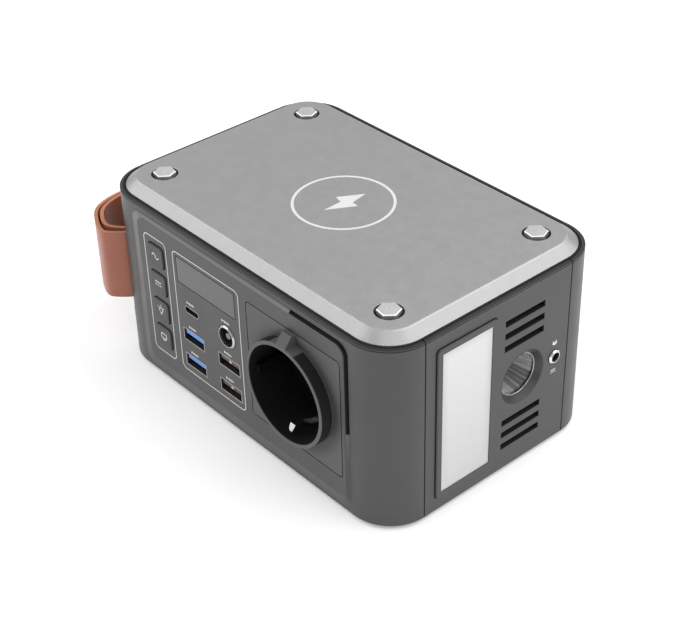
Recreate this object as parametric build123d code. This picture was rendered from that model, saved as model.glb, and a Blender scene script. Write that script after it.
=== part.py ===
from build123d import *
import math
import os

# Portable power station. Millimetres, +Z up.
# Origin: middle of the footprint, on the plane that the rubber base pad stands on.
# -Y is the front with the ports, +X the end with the lamp, -X the end with the strap.

# ---- overall sizes ----
body_length = 163.0
body_depth = 107.0
body_height = 82.2          # under the base pad to the flat of the top cover
corner_radius = 17.7
wall = 2.5
seam_gap = 0.5              # open line between a shell and an end panel
fit = 0.2                   # gap between nested pieces that do not move
moving_gap = 0.35           # gap round a piece that moves
edge_break = 0.6            # bevel on the lower edge of the shells

# ---- base and screws ----
pad_proud = 1.2
pad_recess = 0.8
pad_inset_x = 25.0          # from the body's end to the pad
pad_inset_y = 17.5
pad_corner = 9.0
pad_edge = 0.4
base_thickness = 2.5
post_radius = 4.2
rib_offset = 1.5            # rib of a screw post, from the post's middle
rib_thickness = 2.0
screw_radius = 1.5
screw_head_radius = 2.9
screw_head_height = 1.6
screw_length = 12.0

# ---- top trim and cover ----
ledge_width = 2.1
ledge_steps = 3
ledge_rise = 0.7
trim_edge = 0.5
trim_gap = 0.3              # open line between the trim and the shells
trim_gap_depth = 0.5
trim_shelf_width = 5.0
trim_shelf_thickness = 2.0
trim_notch = 0.5
cover_gap = 0.35
cover_rise = 3.3
cover_chamfer = 4.2
cover_edge_round = 1.5      # radius between the flat and the chamfer
cover_wall = 2.0
cover_seat = 0.8            # how far the cover's edge stands below the trim's lip
hex_across_corners = 8.8
hex_height = 1.9
hex_turn = -10.0
hex_bevel = 0.25
hex_socket = 2.0
hex_socket_depth = 0.8
head_recess_radius = 5.3
head_recess_depth = 0.9

# ---- raised front panel ----
panel_proud = 1.2
panel_side_margin = 1.3     # flat wall left beside the panel
panel_low_margin = 2.2
panel_top_margin = 2.1
panel_corner = 5.0
panel_ramp = 5.2            # width of the soft slope on the left and the bottom
panel_bevel = 1.4           # width of the slope on the right and the top
slot_width = 1.05
slot_depth = 3.0
slot_left = 33.0
slot_low = 38.0

# ---- buttons ----
button_size = 9.0
button_corner = 1.3
button_x = -46.0
button_z = 61.2
button_space = 3.55         # from one key to the next
button_count = 4
button_proud = 0.7
button_gap = 0.5            # open line round a key
button_travel = 0.8
button_flange = 1.0
button_flange_thickness = 1.0
button_stem_radius = 1.5
switch_size = 6.0
switch_height = 3.2
switch_tip_radius = 1.6
switch_tip = 0.6

# ---- display and ports ----
display_width = 34.8
display_height = 10.9
display_x = -15.7
display_z = 61.5
display_lens = 1.6
display_module_depth = 3.0
port_left_x = -26.0
port_right_x = -4.1
usb_c_z = 45.0
usb_c_width = 8.9
usb_c_height = 3.3
usb_c_wall = 0.3
usb_a_upper_z = 32.5
usb_a_lower_z = 20.5
usb_a_width = 13.2
usb_a_height = 5.8
usb_a_wall = 0.35
usb_a_depth = 14.0
usb_tongue_margin = 0.7     # beside the tongue, inside the shell
usb_tongue_thickness = 1.8
usb_tongue_drop = 0.5
usb_tongue_inset = 0.6      # tongue behind the port's mouth
usb_contact_inset = 1.4
jack_z = 45.2
jack_radius = 4.75
jack_wall = 0.75
jack_pin_radius = 1.3
jack_pin_inset = 0.5
jack_depth = 13.0
jack_proud = 0.6
board_thickness = 1.6

# ---- earthed mains socket ----
socket_x = 34.2
socket_z = 42.5
socket_plate = 50.5
socket_plate_corner = 1.5
socket_plate_thickness = 2.2
socket_bore_radius = 19.5
socket_ring_wall = 1.5
socket_ring_proud = 5.0
socket_recess_depth = 17.5
socket_insert_thickness = 22.0
socket_back_wall = 2.0
pin_spacing = 19.0
pin_hole_radius = 2.6
contact_radius = 3.9
contact_length = 14.0
pin_lead = 1.6              # insert in front of a contact sleeve
key_width = 5.0
key_drop = 3.2
guide_width = 4.2
guide_depth = 2.2
guide_start = 3.0
clip_width = 2.6
clip_thickness = 0.6
clip_bow = 3.6
clip_tip_round = 1.2

# ---- lamp ----
lamp_y = -16.4
lamp_z = 39.9
lamp_width = 24.0
lamp_height = 60.6
lamp_frame_margin = 2.3
lamp_frame_proud = 0.8
lamp_frame_corner = 1.6
lamp_lens_inset = 0.3
lamp_lens_thickness = 2.2
lamp_lip = 1.6
lamp_board_gap = 3.0
led_size = 3.0
led_height = 0.8

# ---- torch and charging jack ----
torch_y = 12.45
torch_z = 39.6
torch_lens_radius = 8.85
torch_rim = 1.85            # from the lens to the bezel's outside
torch_dish_depth = 2.5
torch_bezel_wall = 1.6
torch_lens_thickness = 1.2
torch_reflector_depth = 12.0
torch_reflector_wall = 0.8
torch_throat_radius = 2.8
charge_jack_y = 29.0
charge_jack_z = 40.3
charge_jack_radius = 2.8
charge_jack_wall = 0.8
charge_jack_depth = 11.0
charge_jack_proud = 0.9

# ---- cooling slots and fan ----
vent_y = 12.5
vent_width = 20.0
vent_height = 2.7
vent_pitch = 5.4
vent_group_offset = 22.0    # torch centre to the middle slot of a group
fan_size = 40.0
fan_depth = 10.0
fan_rim = 1.0               # thinnest wall round the bore
fan_tip_gap = 0.8
fan_hub_radius = 9.0
fan_shaft_radius = 1.5
fan_running_gap = 0.05
fan_blades = 7
fan_blade_thickness = 1.2
fan_blade_pitch = 35.0
fan_end_gap = 0.6
fan_strut_width = 2.4
fan_strut_depth = 1.6
fan_back_room = 30.0        # from the fan's back to the end wall

# ---- strap ----
strap_height = 30.4
strap_z = 42.5
strap_ply = 1.6
strap_air = 0.4             # air between the plies
strap_reach = 20.0          # outermost face beyond the end of the body
strap_front_reach = 3.4     # outermost face beyond the front and back walls
strap_front_inset = 1.3     # from the body's end to where the loop stands out furthest
strap_slope = 14.0          # from there the loop leans in by this angle
strap_bend = 23.0
strap_exit = 2.2            # straight run outside the slot
strap_small_bend = 3.0
strap_slot_height = 42.0
strap_slot_angle = 54.5     # round the corner, from the end face towards the front
strap_slot_width = 7.0
pocket_post_gap = 1.8       # from a screw post to the pocket
pocket_wall = 1.2
strap_pin_radius = 1.4

# ---- battery, inverter and charging coil ----
cell_radius = 9.2
cell_length = 65.0
cell_gap = 0.8
cell_columns = 4
cell_rows = 3
holder_thickness = 8.0
holder_margin = 1.4
pack_x = -18.5
pack_back_gap = 1.5
strip_width = 8.0
strip_thickness = 0.3
inverter_x = 24.5
inverter_height = 62.0
transformer_width = 26.0
transformer_height = 22.0
transformer_depth = 18.0
heat_sink_fins = 5
capacitor_radius = 5.0
capacitor_length = 18.0
coil_outer_radius = 21.0
coil_inner_radius = 9.0
coil_thickness = 0.9
ferrite_thickness = 0.8

# ---- derived levels ----
half_length = body_length / 2
half_depth = body_depth / 2
base_z = pad_proud
trim_lip_z = body_height - cover_rise
shell_top = trim_lip_z - ledge_rise - trim_edge
base_top = base_z + base_thickness
inner_x = half_length - wall
inner_y = half_depth - wall
post_x = half_length - corner_radius
post_y = half_depth - corner_radius
panel_y = -(half_depth + panel_proud)
panel_right = post_x - panel_side_margin
panel_left = -panel_right
panel_bottom = base_z + panel_low_margin
panel_top = shell_top - panel_top_margin
button_pitch = button_size + button_space
jack_bore = jack_radius - jack_wall
charge_jack_bore = charge_jack_radius - charge_jack_wall
usb_tongue_width = usb_a_width - 2 * usb_a_wall - 2 * usb_tongue_margin
socket_ring_radius = socket_bore_radius + socket_ring_wall
torch_bezel_radius = torch_lens_radius + torch_rim
fan_bore_radius = fan_size / 2 - fan_rim
fan_x = inner_x - fan_back_room
strap_front_x = -half_length + strap_front_inset
pocket_depth = corner_radius - wall - fit - post_radius - pocket_post_gap
cell_pitch = 2 * cell_radius + cell_gap
front_inner_y = -inner_y
cover_underside = body_height - cover_wall
head_seat = body_height - head_recess_depth
shelf_top = trim_lip_z - cover_seat
shelf_low = shelf_top - trim_shelf_thickness
rib_top = shelf_low - fit
board_y = front_inner_y + usb_a_depth - wall - panel_proud


# ---- helpers ----
def outline(inset):
    """Plan of the body, moved inwards by inset."""
    return RectangleRounded(body_length - 2 * inset, body_depth - 2 * inset, corner_radius - inset)


def slab(inset, low, high):
    """Solid with the body's plan between two levels."""
    return extrude(Plane.XY.offset(low) * outline(inset), high - low)


def block(x_low, x_high, y_low, y_high, z_low, z_high):
    """Box given by its limits."""
    centre = Pos((x_low + x_high) / 2, (y_low + y_high) / 2, (z_low + z_high) / 2)
    return centre * Box(x_high - x_low, y_high - y_low, z_high - z_low)


def along_y(sketch, y_low, y_high):
    """Extrude a sketch drawn in X and Z between two depths."""
    return extrude(Plane.XZ.offset(-y_high) * sketch, y_high - y_low)


def along_x(sketch, x_low, x_high):
    """Extrude a sketch drawn in Y and Z between two lengths."""
    return extrude(Plane.YZ.offset(x_low) * sketch, x_high - x_low)


def along_z(sketch, z_low, z_high):
    """Extrude a sketch drawn in X and Y between two levels."""
    return extrude(Plane.XY.offset(z_low) * sketch, z_high - z_low)


def prism_x(points, x_low, x_high):
    """Solid of an outline of (y, z) points between two lengths."""
    face = Plane.YZ.offset((x_low + x_high) / 2) * Polygon(*points, align=None)
    return extrude(face, (x_high - x_low) / 2, both=True)


def post_centres():
    """Plan centres of the four screw posts."""
    return [(sx * post_x, sy * post_y) for sx in (-1, 1) for sy in (-1, 1)]


def mirrored(shape):
    """Copy of a shape on the other side of the XZ plane."""
    return mirror(shape, about=Plane.XZ)


def write(node, *solids):
    """Write one node as a STEP file."""
    shape = solids[0] if len(solids) == 1 else Compound(children=list(solids))
    export_step(shape, f"parts/{node}.step")


# ---- housing ----
def raised_panel():
    """Raised front panel with soft slopes left and below."""
    low_width = panel_right - panel_left
    low_height = panel_top - panel_bottom
    low_centre = Pos((panel_left + panel_right) / 2, (panel_bottom + panel_top) / 2)
    top_left = panel_left + panel_ramp
    top_right = panel_right - panel_bevel
    top_bottom = panel_bottom + panel_ramp
    top_top = panel_top - panel_bevel
    top_centre = Pos((top_left + top_right) / 2, (top_bottom + top_top) / 2)
    low = Plane.XZ.offset(half_depth) * low_centre * RectangleRounded(low_width, low_height, panel_corner)
    high_shape = RectangleRounded(top_right - top_left, top_top - top_bottom, panel_corner - panel_bevel)
    high = Plane.XZ.offset(-panel_y) * top_centre * high_shape
    return loft([low, high], ruled=True)


def panel_slot():
    """L-shaped groove round the upper right corner of the raised panel."""
    outer_width = 2 * (panel_right - slot_left)
    outer_height = 2 * (panel_top - slot_low)
    centre = Pos(slot_left, slot_low)
    outer = centre * RectangleRounded(outer_width, outer_height, panel_corner)
    inner_size = (outer_width - 2 * slot_width, outer_height - 2 * slot_width)
    inner = centre * RectangleRounded(*inner_size, panel_corner - slot_width)
    quarter = Pos(slot_left + outer_width / 4, slot_low + outer_height / 4)
    window = quarter * Rectangle(outer_width / 2, outer_height / 2)
    return along_y((outer - inner) & window, panel_y - 1, panel_y + slot_depth)


def strap_slot(outward):
    """Opening through the rounded corner where the strap goes in."""
    reach = corner_radius + outward
    cutter = Pos(reach / 2, 0, strap_z) * Box(reach, strap_slot_width, strap_slot_height)
    return Pos(-post_x, -post_y, 0) * Rot(0, 0, 180 + strap_slot_angle) * cutter


def port_holes():
    """Openings in the front wall for the buttons, display and ports."""
    cuts = []
    button_hole = button_size + 2 * button_gap
    for z in button_levels():
        shape = RectangleRounded(button_hole, button_hole, button_corner + button_gap)
        cuts.append(Pos(button_x, z) * shape)
    cuts.append(Pos(display_x, display_z) * Rectangle(display_width + 2 * fit, display_height + 2 * fit))
    for x, z in usb_a_places():
        cuts.append(Pos(x, z) * Rectangle(usb_a_width + 2 * fit, usb_a_height + 2 * fit))
    c_hole = RectangleRounded(usb_c_width + 2 * fit, usb_c_height + 2 * fit, usb_c_height / 2 + fit - 0.01)
    cuts.append(Pos(port_left_x, usb_c_z) * c_hole)
    cuts.append(Pos(port_right_x, jack_z) * Circle(jack_radius + fit))
    plate = socket_plate + 2 * fit
    cuts.append(Pos(socket_x, socket_z) * RectangleRounded(plate, plate, socket_plate_corner + fit))
    return [along_y(cut, panel_y - 1, front_inner_y + 1) for cut in cuts]


def button_levels():
    """Heights of the button centres, top first."""
    return [button_z - index * button_pitch for index in range(button_count)]


def usb_a_places():
    """Centres of the four USB-A ports: the left column first, top first."""
    columns = (port_left_x, port_right_x)
    return [(x, z) for x in columns for z in (usb_a_upper_z, usb_a_lower_z)]


def shell_half():
    """Front half of the body wall with its two screw posts and ribs."""
    ring = slab(0, base_z, shell_top) - slab(wall, base_z - 1, shell_top + 1)
    seam_y = -(post_y + seam_gap / 2)
    half = ring & block(-half_length, half_length, -half_depth, seam_y, base_z, shell_top)
    half = half - edge_cutter()
    for sx in (-1, 1):
        centre = Pos(sx * post_x, -post_y)
        half = half + along_z(centre * Circle(post_radius), base_top, shell_top)
        rib_x = sorted((sx * (post_x - rib_offset), sx * (post_x - rib_offset - rib_thickness)))
        half = half + block(*rib_x, front_inner_y - 0.5, -post_y, base_top, rib_top)
        half = half - along_z(centre * Circle(screw_radius), base_top, shell_top)
    return half


def edge_cutter():
    """Ring that bevels the lower outer edge of the body."""
    low = Plane.XY.offset(base_z) * outline(edge_break)
    high = Plane.XY.offset(base_z + edge_break) * outline(0)
    return slab(-1, base_z, base_z + edge_break) - loft([low, high], ruled=True)


def front_shell():
    """Front wall, front corners and the raised panel with its openings."""
    shell = shell_half() + raised_panel()
    shell = shell - panel_slot() - strap_slot(1)
    for cut in port_holes():
        shell = shell - cut
    return shell


def rear_shell():
    """Back wall and back corners."""
    return mirrored(shell_half() - strap_slot(1))


def end_panel_blank():
    """Flat end wall between two seams, with a lip behind each shell."""
    half_width = post_y - seam_gap / 2
    plate = block(inner_x, half_length, -half_width, half_width, base_z, shell_top) - edge_cutter()
    tongue_x = inner_x - 2 * fit
    tongue = 1.6
    reach = 2.6
    for sy in (-1, 1):
        edge = sy * half_width
        rib = sorted((edge - sy * 2.4, edge))
        lip = sorted((edge - sy * 2.4, edge + sy * reach))
        plate = plate + block(tongue_x - tongue, inner_x, *rib, base_top, rib_top)
        plate = plate + block(tongue_x - tongue, tongue_x, *lip, base_top, rib_top)
    return plate


def right_end_panel():
    """End panel with lamp, torch and charging openings and cooling slots."""
    panel = end_panel_blank()
    frame_width = lamp_width + 2 * (lamp_lip + fit)
    frame_height = lamp_height + 2 * (lamp_lip + fit)
    cuts = [Pos(lamp_y, lamp_z) * Rectangle(frame_width, frame_height)]
    cuts.append(Pos(torch_y, torch_z) * Circle(torch_bezel_radius + fit))
    cuts.append(Pos(charge_jack_y, charge_jack_z) * Circle(charge_jack_radius + fit))
    for group in (-1, 1):
        for step in (-1, 0, 1):
            z = torch_z + group * vent_group_offset + step * vent_pitch
            cuts.append(Pos(vent_y, z) * Rectangle(vent_width, vent_height))
    for cut in cuts:
        panel = panel - along_x(cut, inner_x - 1, half_length + 1)
    return panel


def left_end_panel():
    """Plain end panel behind the strap."""
    return mirror(end_panel_blank(), about=Plane.YZ)


def base_plate():
    """Floor of the body with the pad's pocket and screw holes."""
    plate = slab(wall + fit, base_z, base_top)
    for x, y in post_centres():
        plate = plate - along_z(Pos(x, y) * Circle(screw_radius + fit), base_z, base_top)
        head = Pos(x, y) * Circle(screw_head_radius + fit)
        plate = plate - along_z(head, base_z, base_z + screw_head_height)
    return plate - along_z(pad_outline(fit), base_z, base_z + pad_recess)


def pad_outline(margin):
    """Plan of the rubber base pad, grown by a margin."""
    length = body_length - 2 * pad_inset_x + 2 * margin
    depth = body_depth - 2 * pad_inset_y + 2 * margin
    return RectangleRounded(length, depth, pad_corner + margin)


def rubber_base_pad():
    """Flat rubber pad set into the base."""
    pad = along_z(pad_outline(0), 0, base_z + pad_recess)
    return chamfer(pad.edges().group_by(Axis.Z)[0], pad_edge)


def base_screws():
    """Countersunk-level screws from the base into the posts."""
    screws = []
    for x, y in post_centres():
        head = along_z(Pos(x, y) * Circle(screw_head_radius), base_z + 0.2, base_z + screw_head_height)
        shank_top = base_z + screw_length
        shank = along_z(Pos(x, y) * Circle(screw_radius), base_z + screw_head_height, shank_top)
        cross = Box(3.2, 0.8, 1.6) + Box(0.8, 3.2, 1.6)
        screws.append(head + shank - Pos(x, y, base_z + 0.2) * cross)
    return screws


# ---- trim, cover and what hangs from the cover ----
def top_trim():
    """Dark ring between the body and the cover, with fine steps on its ledge."""
    ring = slab(0, shell_top, shell_top + trim_edge)
    for step in range(ledge_steps):
        inset = step * ledge_width / ledge_steps
        rise = (step + 1) * ledge_rise / ledge_steps
        ring = ring + slab(inset, shell_top, shell_top + trim_edge + rise)
    ring = ring - slab(ledge_width, shelf_top, body_height)
    ring = ring - (slab(-1, shell_top - 1, shell_top + trim_gap) - slab(trim_gap_depth, 0, body_height))
    ring = ring + slab(wall + fit, shelf_low, shell_top)
    ring = ring - slab(wall + fit + trim_shelf_width, shelf_low - 1, body_height)
    for sx in (-1, 1):
        for sy in (-1, 1):
            x_ends = sorted((sx * (half_length - ledge_width), sx * (half_length + 1)))
            y_ends = (sy * post_y - trim_notch / 2, sy * post_y + trim_notch / 2)
            ring = ring - block(*x_ends, *y_ends, shell_top + trim_edge / 2, body_height)
    return ring


def top_cover():
    """Silver cover: flat top, broad chamfer, hollow below, four screw bosses."""
    inset = ledge_width + cover_gap
    low = trim_lip_z - cover_seat
    skirt = slab(inset, low, trim_lip_z)
    bottom = Plane.XY.offset(trim_lip_z) * outline(inset)
    top = Plane.XY.offset(body_height) * outline(inset + cover_chamfer)
    shape = skirt + loft([bottom, top], ruled=True)
    shape = fillet(shape.edges().group_by(Axis.Z)[-1], cover_edge_round)
    inner = inset + cover_wall
    shape = shape - slab(inner + cover_chamfer, low - 1, cover_underside)
    hollow_low = Plane.XY.offset(low) * outline(inner)
    hollow_mid = Plane.XY.offset(cover_underside) * outline(inner + cover_chamfer)
    shape = shape - loft([hollow_low, hollow_mid], ruled=True)
    for x, y in post_centres():
        boss = along_z(Pos(x, y) * Circle(post_radius), shell_top, cover_underside)
        shape = shape + boss
        shape = shape - along_z(Pos(x, y) * Circle(screw_radius + fit), low - 1, body_height + 1)
        shape = shape - along_z(Pos(x, y) * Circle(head_recess_radius), head_seat, body_height + 1)
    return shape


def cover_screws():
    """Hexagon-headed screws that hold the cover."""
    screws = []
    for x, y in post_centres():
        hexagon = Pos(x, y) * Rot(0, 0, hex_turn) * RegularPolygon(hex_across_corners / 2, 6)
        head_top = head_seat + hex_height
        head = along_z(hexagon, head_seat, head_top)
        head = chamfer(head.edges().group_by(Axis.Z)[-1], hex_bevel)
        shank = along_z(Pos(x, y) * Circle(screw_radius), head_seat - screw_length, head_seat)
        socket = Pos(x, y) * RegularPolygon(hex_socket / 2, 6)
        screws.append(head + shank - along_z(socket, head_top - hex_socket_depth, head_top + 1))
    return screws


def wireless_coil():
    """Flat winding stuck under the cover."""
    ring = Circle(coil_outer_radius) - Circle(coil_inner_radius)
    return along_z(ring, cover_underside - coil_thickness, cover_underside)


def ferrite_sheet():
    """Ferrite square under the winding."""
    side = 2 * coil_outer_radius + 4
    top = cover_underside - coil_thickness
    return along_z(RectangleRounded(side, side, 3), top - ferrite_thickness, top)


# ---- buttons, display and ports ----
def button(z):
    """Square key with a retaining flange and a stem."""
    cap_back = front_inner_y + moving_gap
    shape = RectangleRounded(button_size, button_size, button_corner)
    cap = along_y(Pos(button_x, z) * shape, panel_y - button_proud, cap_back)
    cap = chamfer(cap.faces().sort_by(Axis.Y)[0].edges(), 0.3)
    flange_size = button_size + 2 * button_flange
    flange_back = cap_back + button_flange_thickness
    flange = along_y(Pos(button_x, z) * Rectangle(flange_size, flange_size), cap_back, flange_back)
    stem = along_y(Pos(button_x, z) * Circle(button_stem_radius), flange_back, stem_end_y())
    return cap + flange + stem


def stem_end_y():
    """Depth of the stem's end at rest."""
    return front_inner_y + moving_gap + button_flange_thickness + 1.0


def button_board_y():
    """Front face of the button board."""
    return stem_end_y() + button_travel + moving_gap + switch_tip + switch_height


def button_board():
    """Circuit board behind the buttons."""
    levels = button_levels()
    z_low = levels[-1] - button_size / 2 - 2
    z_high = levels[0] + button_size / 2 + 2
    front = button_board_y()
    half = button_size / 2 + 1.5
    return block(button_x - half, button_x + half, front, front + board_thickness, z_low, z_high)


def button_switches():
    """Tactile switches on the button board."""
    parts = []
    front = button_board_y()
    half = switch_size / 2
    for z in button_levels():
        case_front = front - switch_height
        case = block(button_x - half, button_x + half, case_front, front, z - half, z + half)
        tip = along_y(Pos(button_x, z) * Circle(switch_tip_radius), case_front - switch_tip, case_front)
        parts.append(case + tip)
    return parts


def button_guide():
    """Frame behind the front wall that holds the button board."""
    levels = button_levels()
    half = button_size / 2 + button_flange + moving_gap
    outer = half + 1.4
    z_low = levels[-1] - outer
    z_high = levels[0] + outer
    back = button_board_y()
    frame = block(button_x - outer, button_x + outer, front_inner_y, back, z_low, z_high)
    inner_low = levels[-1] - half
    inner_high = levels[0] + half
    frame = frame - block(button_x - half, button_x + half, front_inner_y - 1, back + 1, inner_low, inner_high)
    return frame


def display_window():
    """Smoked window, flush with the raised panel."""
    shape = Pos(display_x, display_z) * Rectangle(display_width, display_height)
    return along_y(shape, panel_y, panel_y + display_lens)


def display_module():
    """Display glass and its carrier, behind the window."""
    shape = Pos(display_x, display_z) * Rectangle(display_width, display_height)
    front = panel_y + display_lens
    return along_y(shape, front, front + display_module_depth)


def usb_board():
    """Circuit board behind the ports and the display."""
    x_low = display_x - display_width / 2 - 2
    x_high = port_right_x + usb_a_width / 2 + 3
    z_low = usb_a_lower_z - usb_a_height / 2 - 3
    z_high = display_z + display_height / 2
    return block(x_low, x_high, board_y, board_y + board_thickness, z_low, z_high)


def usb_a_shells():
    """Folded metal shells of the USB-A ports."""
    shells = []
    for x, z in usb_a_places():
        outer = Pos(x, z) * Rectangle(usb_a_width, usb_a_height)
        inner = Pos(x, z) * Rectangle(usb_a_width - 2 * usb_a_wall, usb_a_height - 2 * usb_a_wall)
        body = along_y(outer, panel_y, board_y)
        shells.append(body - along_y(inner, panel_y - 1, board_y - usb_a_wall))
    return shells


def usb_a_tongues(column):
    """Plastic tongues of one column of USB-A ports, near the top of each opening."""
    tongues = []
    for x, z in usb_a_places():
        if x == column:
            top = z + usb_a_height / 2 - usb_a_wall - usb_tongue_drop
            low = top - usb_tongue_thickness
            half = usb_tongue_width / 2
            tongues.append(block(x - half, x + half, panel_y + usb_tongue_inset, board_y - usb_a_wall, low, top))
    return tongues


def usb_a_contacts():
    """Contact blades under each tongue."""
    blades = []
    for x, z in usb_a_places():
        top = z + usb_a_height / 2 - usb_a_wall - usb_tongue_drop - usb_tongue_thickness
        for index in range(4):
            centre = x + (index - 1.5) * 2.2
            front = panel_y + usb_contact_inset
            blades.append(block(centre - 0.5, centre + 0.5, front, board_y - usb_a_wall, top - 0.25, top))
    return blades


def usb_c_shell():
    """Oval metal shell of the USB-C port."""
    centre = Pos(port_left_x, usb_c_z)
    outer = centre * RectangleRounded(usb_c_width, usb_c_height, usb_c_height / 2 - 0.01)
    width = usb_c_width - 2 * usb_c_wall
    height = usb_c_height - 2 * usb_c_wall
    inner = centre * RectangleRounded(width, height, height / 2 - 0.01)
    body = along_y(outer, panel_y, board_y)
    return body - along_y(inner, panel_y - 1, board_y - usb_c_wall)


def usb_c_tongue():
    """Thin tongue in the middle of the USB-C port."""
    half = usb_c_width / 2 - 1.1
    low = usb_c_z - 0.35
    return block(port_left_x - half, port_left_x + half, panel_y + 1, board_y - usb_c_wall, low, low + 0.7)


def dc_output_jack():
    """Barrel of the round output jack with its bright flange."""
    centre = Pos(port_right_x, jack_z)
    flange = along_y(centre * Circle(jack_radius), panel_y - jack_proud, panel_y + jack_depth)
    flange = chamfer(flange.faces().sort_by(Axis.Y)[0].edges(), jack_proud * 0.8)
    return flange - along_y(centre * Circle(jack_bore), panel_y - 2, panel_y + jack_depth - 1.5)


def dc_output_pin():
    """Centre pin of the output jack."""
    shape = Pos(port_right_x, jack_z) * Circle(jack_pin_radius)
    return along_y(shape, panel_y + jack_pin_inset, panel_y + jack_depth - 1.5)


# ---- mains socket ----
def socket_housing():
    """Plate, standing ring with a wedge key, and the tube behind the wall."""
    centre = Pos(socket_x, socket_z)
    rim_y = panel_y - socket_ring_proud
    floor_y = rim_y + socket_recess_depth
    back_y = floor_y + socket_insert_thickness
    plate_shape = RectangleRounded(socket_plate, socket_plate, socket_plate_corner)
    body = along_y(centre * plate_shape, panel_y, panel_y + socket_plate_thickness)
    ring = along_y(centre * Circle(socket_ring_radius), rim_y, back_y)
    ring = chamfer(ring.faces().sort_by(Axis.Y)[0].edges(), 0.25)
    key_low = socket_z + socket_ring_radius - 0.8
    key_high = socket_z + socket_plate / 2 - 0.3
    key_points = [(rim_y, key_low), (rim_y, key_low + 1.0), (rim_y + key_drop, key_high)]
    key_points += [(panel_y + 0.5, key_high), (panel_y + 0.5, key_low)]
    key = prism_x(key_points, socket_x - key_width / 2, socket_x + key_width / 2)
    body = body + ring + key
    return body - along_y(centre * Circle(socket_bore_radius), rim_y - 1, back_y - socket_back_wall)


def socket_floor_y():
    """Depth of the floor of the socket's recess."""
    return panel_y - socket_ring_proud + socket_recess_depth


def socket_insert():
    """Insert with two pin holes, two guides and two slots for the earth clips."""
    centre = Pos(socket_x, socket_z)
    floor_y = socket_floor_y()
    back_y = floor_y + socket_insert_thickness - socket_back_wall
    radius = socket_bore_radius - fit
    body = along_y(centre * Circle(radius), floor_y, back_y)
    guide_front = panel_y - socket_ring_proud + guide_start
    sketch = centre * (Circle(radius) & Rectangle(2 * radius, guide_width))
    sketch = sketch - centre * Rectangle(2 * (radius - guide_depth), guide_width + 1)
    body = body + along_y(sketch, guide_front, floor_y)
    for side in (-1, 1):
        hole = Pos(socket_x + side * pin_spacing / 2, socket_z)
        body = body - along_y(hole * Circle(pin_hole_radius), floor_y - 1, back_y + 1)
        body = body - along_y(hole * Circle(contact_radius + fit), floor_y + pin_lead, back_y + 1)
        clip = Pos(socket_x, socket_z + side * (radius - 1.2)) * Rectangle(clip_width + 2 * fit, 3.2)
        body = body - along_y(clip, floor_y - 1, back_y + 1)
    return body


def earth_clips():
    """Two sprung earth strips, bowed into the recess at top and bottom."""
    rim_y = panel_y - socket_ring_proud
    root_y = socket_floor_y() + socket_insert_thickness - socket_back_wall
    base = socket_bore_radius - 0.35
    crest = base - clip_bow
    thick = clip_thickness
    outer = [(rim_y + 2.4, base - 1.2), (rim_y + 3.8, crest), (rim_y + 7.0, crest + 0.5), (rim_y + 13.5, base)]
    outer.append((root_y, base))
    inner = [(y, r - thick) for y, r in reversed(outer)]
    section = [(y, socket_z + r) for y, r in outer + inner]
    clip = prism_x(section, socket_x - clip_width / 2, socket_x + clip_width / 2)
    tip_y = outer[0][0]
    plan = Pos(socket_x, (tip_y + root_y) / 2) * RectangleRounded(clip_width, root_y - tip_y, clip_tip_round)
    clip = clip & along_z(plan, socket_z, socket_z + socket_bore_radius)
    return [clip, mirror(clip, about=Plane.XY.offset(socket_z))]


def socket_contacts():
    """Two sprung sleeves for the plug's pins."""
    sleeves = []
    front = socket_floor_y() + pin_lead
    for side in (-1, 1):
        centre = Pos(socket_x + side * pin_spacing / 2, socket_z)
        tube = centre * (Circle(contact_radius) - Circle(pin_hole_radius))
        sleeves.append(along_y(tube, front, front + contact_length))
    return sleeves


# ---- lamp, torch, charging jack ----
def lamp_frame():
    """Raised frame round the lamp, clipped through the end panel."""
    centre = Pos(lamp_y, lamp_z)
    margin = 2 * lamp_frame_margin
    outer = centre * RectangleRounded(lamp_width + margin, lamp_height + margin, lamp_frame_corner)
    face = along_x(outer, half_length, half_length + lamp_frame_proud)
    face = chamfer(face.faces().sort_by(Axis.X)[-1].edges(), lamp_frame_proud * 0.4)
    sleeve = centre * Rectangle(lamp_width + 2 * lamp_lip, lamp_height + 2 * lamp_lip)
    back = half_length + lamp_frame_proud - lamp_lens_inset - lamp_lens_thickness - lamp_board_gap
    body = face + along_x(sleeve, back, half_length)
    return body - along_x(centre * Rectangle(lamp_width, lamp_height), back - 1, half_length + 2)


def lamp_front_x():
    """Outer face of the diffuser."""
    return half_length + lamp_frame_proud - lamp_lens_inset


def lamp_diffuser():
    """Opal panel."""
    shape = Pos(lamp_y, lamp_z) * Rectangle(lamp_width, lamp_height)
    return along_x(shape, lamp_front_x() - lamp_lens_thickness, lamp_front_x())


def lamp_board_x():
    """Front face of the lamp's LED board."""
    return lamp_front_x() - lamp_lens_thickness - lamp_board_gap


def lamp_board():
    """Aluminium board that carries the lamp's LEDs."""
    sleeve = Rectangle(lamp_width + 2 * lamp_lip, lamp_height + 2 * lamp_lip)
    shape = Pos(lamp_y, lamp_z) * sleeve
    return along_x(shape, lamp_board_x() - board_thickness, lamp_board_x())


def lamp_leds():
    """LEDs in a grid on the lamp board."""
    leds = []
    half = led_size / 2
    for column in range(3):
        for row in range(6):
            y = lamp_y + (column - 1) * lamp_width / 3.4
            z = lamp_z + (row - 2.5) * lamp_height / 6.4
            x = lamp_board_x()
            leds.append(block(x, x + led_height, y - half, y + half, z - half, z + half))
    return leds


def torch_section(points):
    """Ring turned about the torch's axis from (x, radius) points."""
    profile = Polygon(*[(x, torch_y + r) for x, r in points], align=None)
    face = Plane.XY.offset(torch_z) * profile
    return revolve(face, Axis((0, torch_y, torch_z), (1, 0, 0)), 360)


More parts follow.
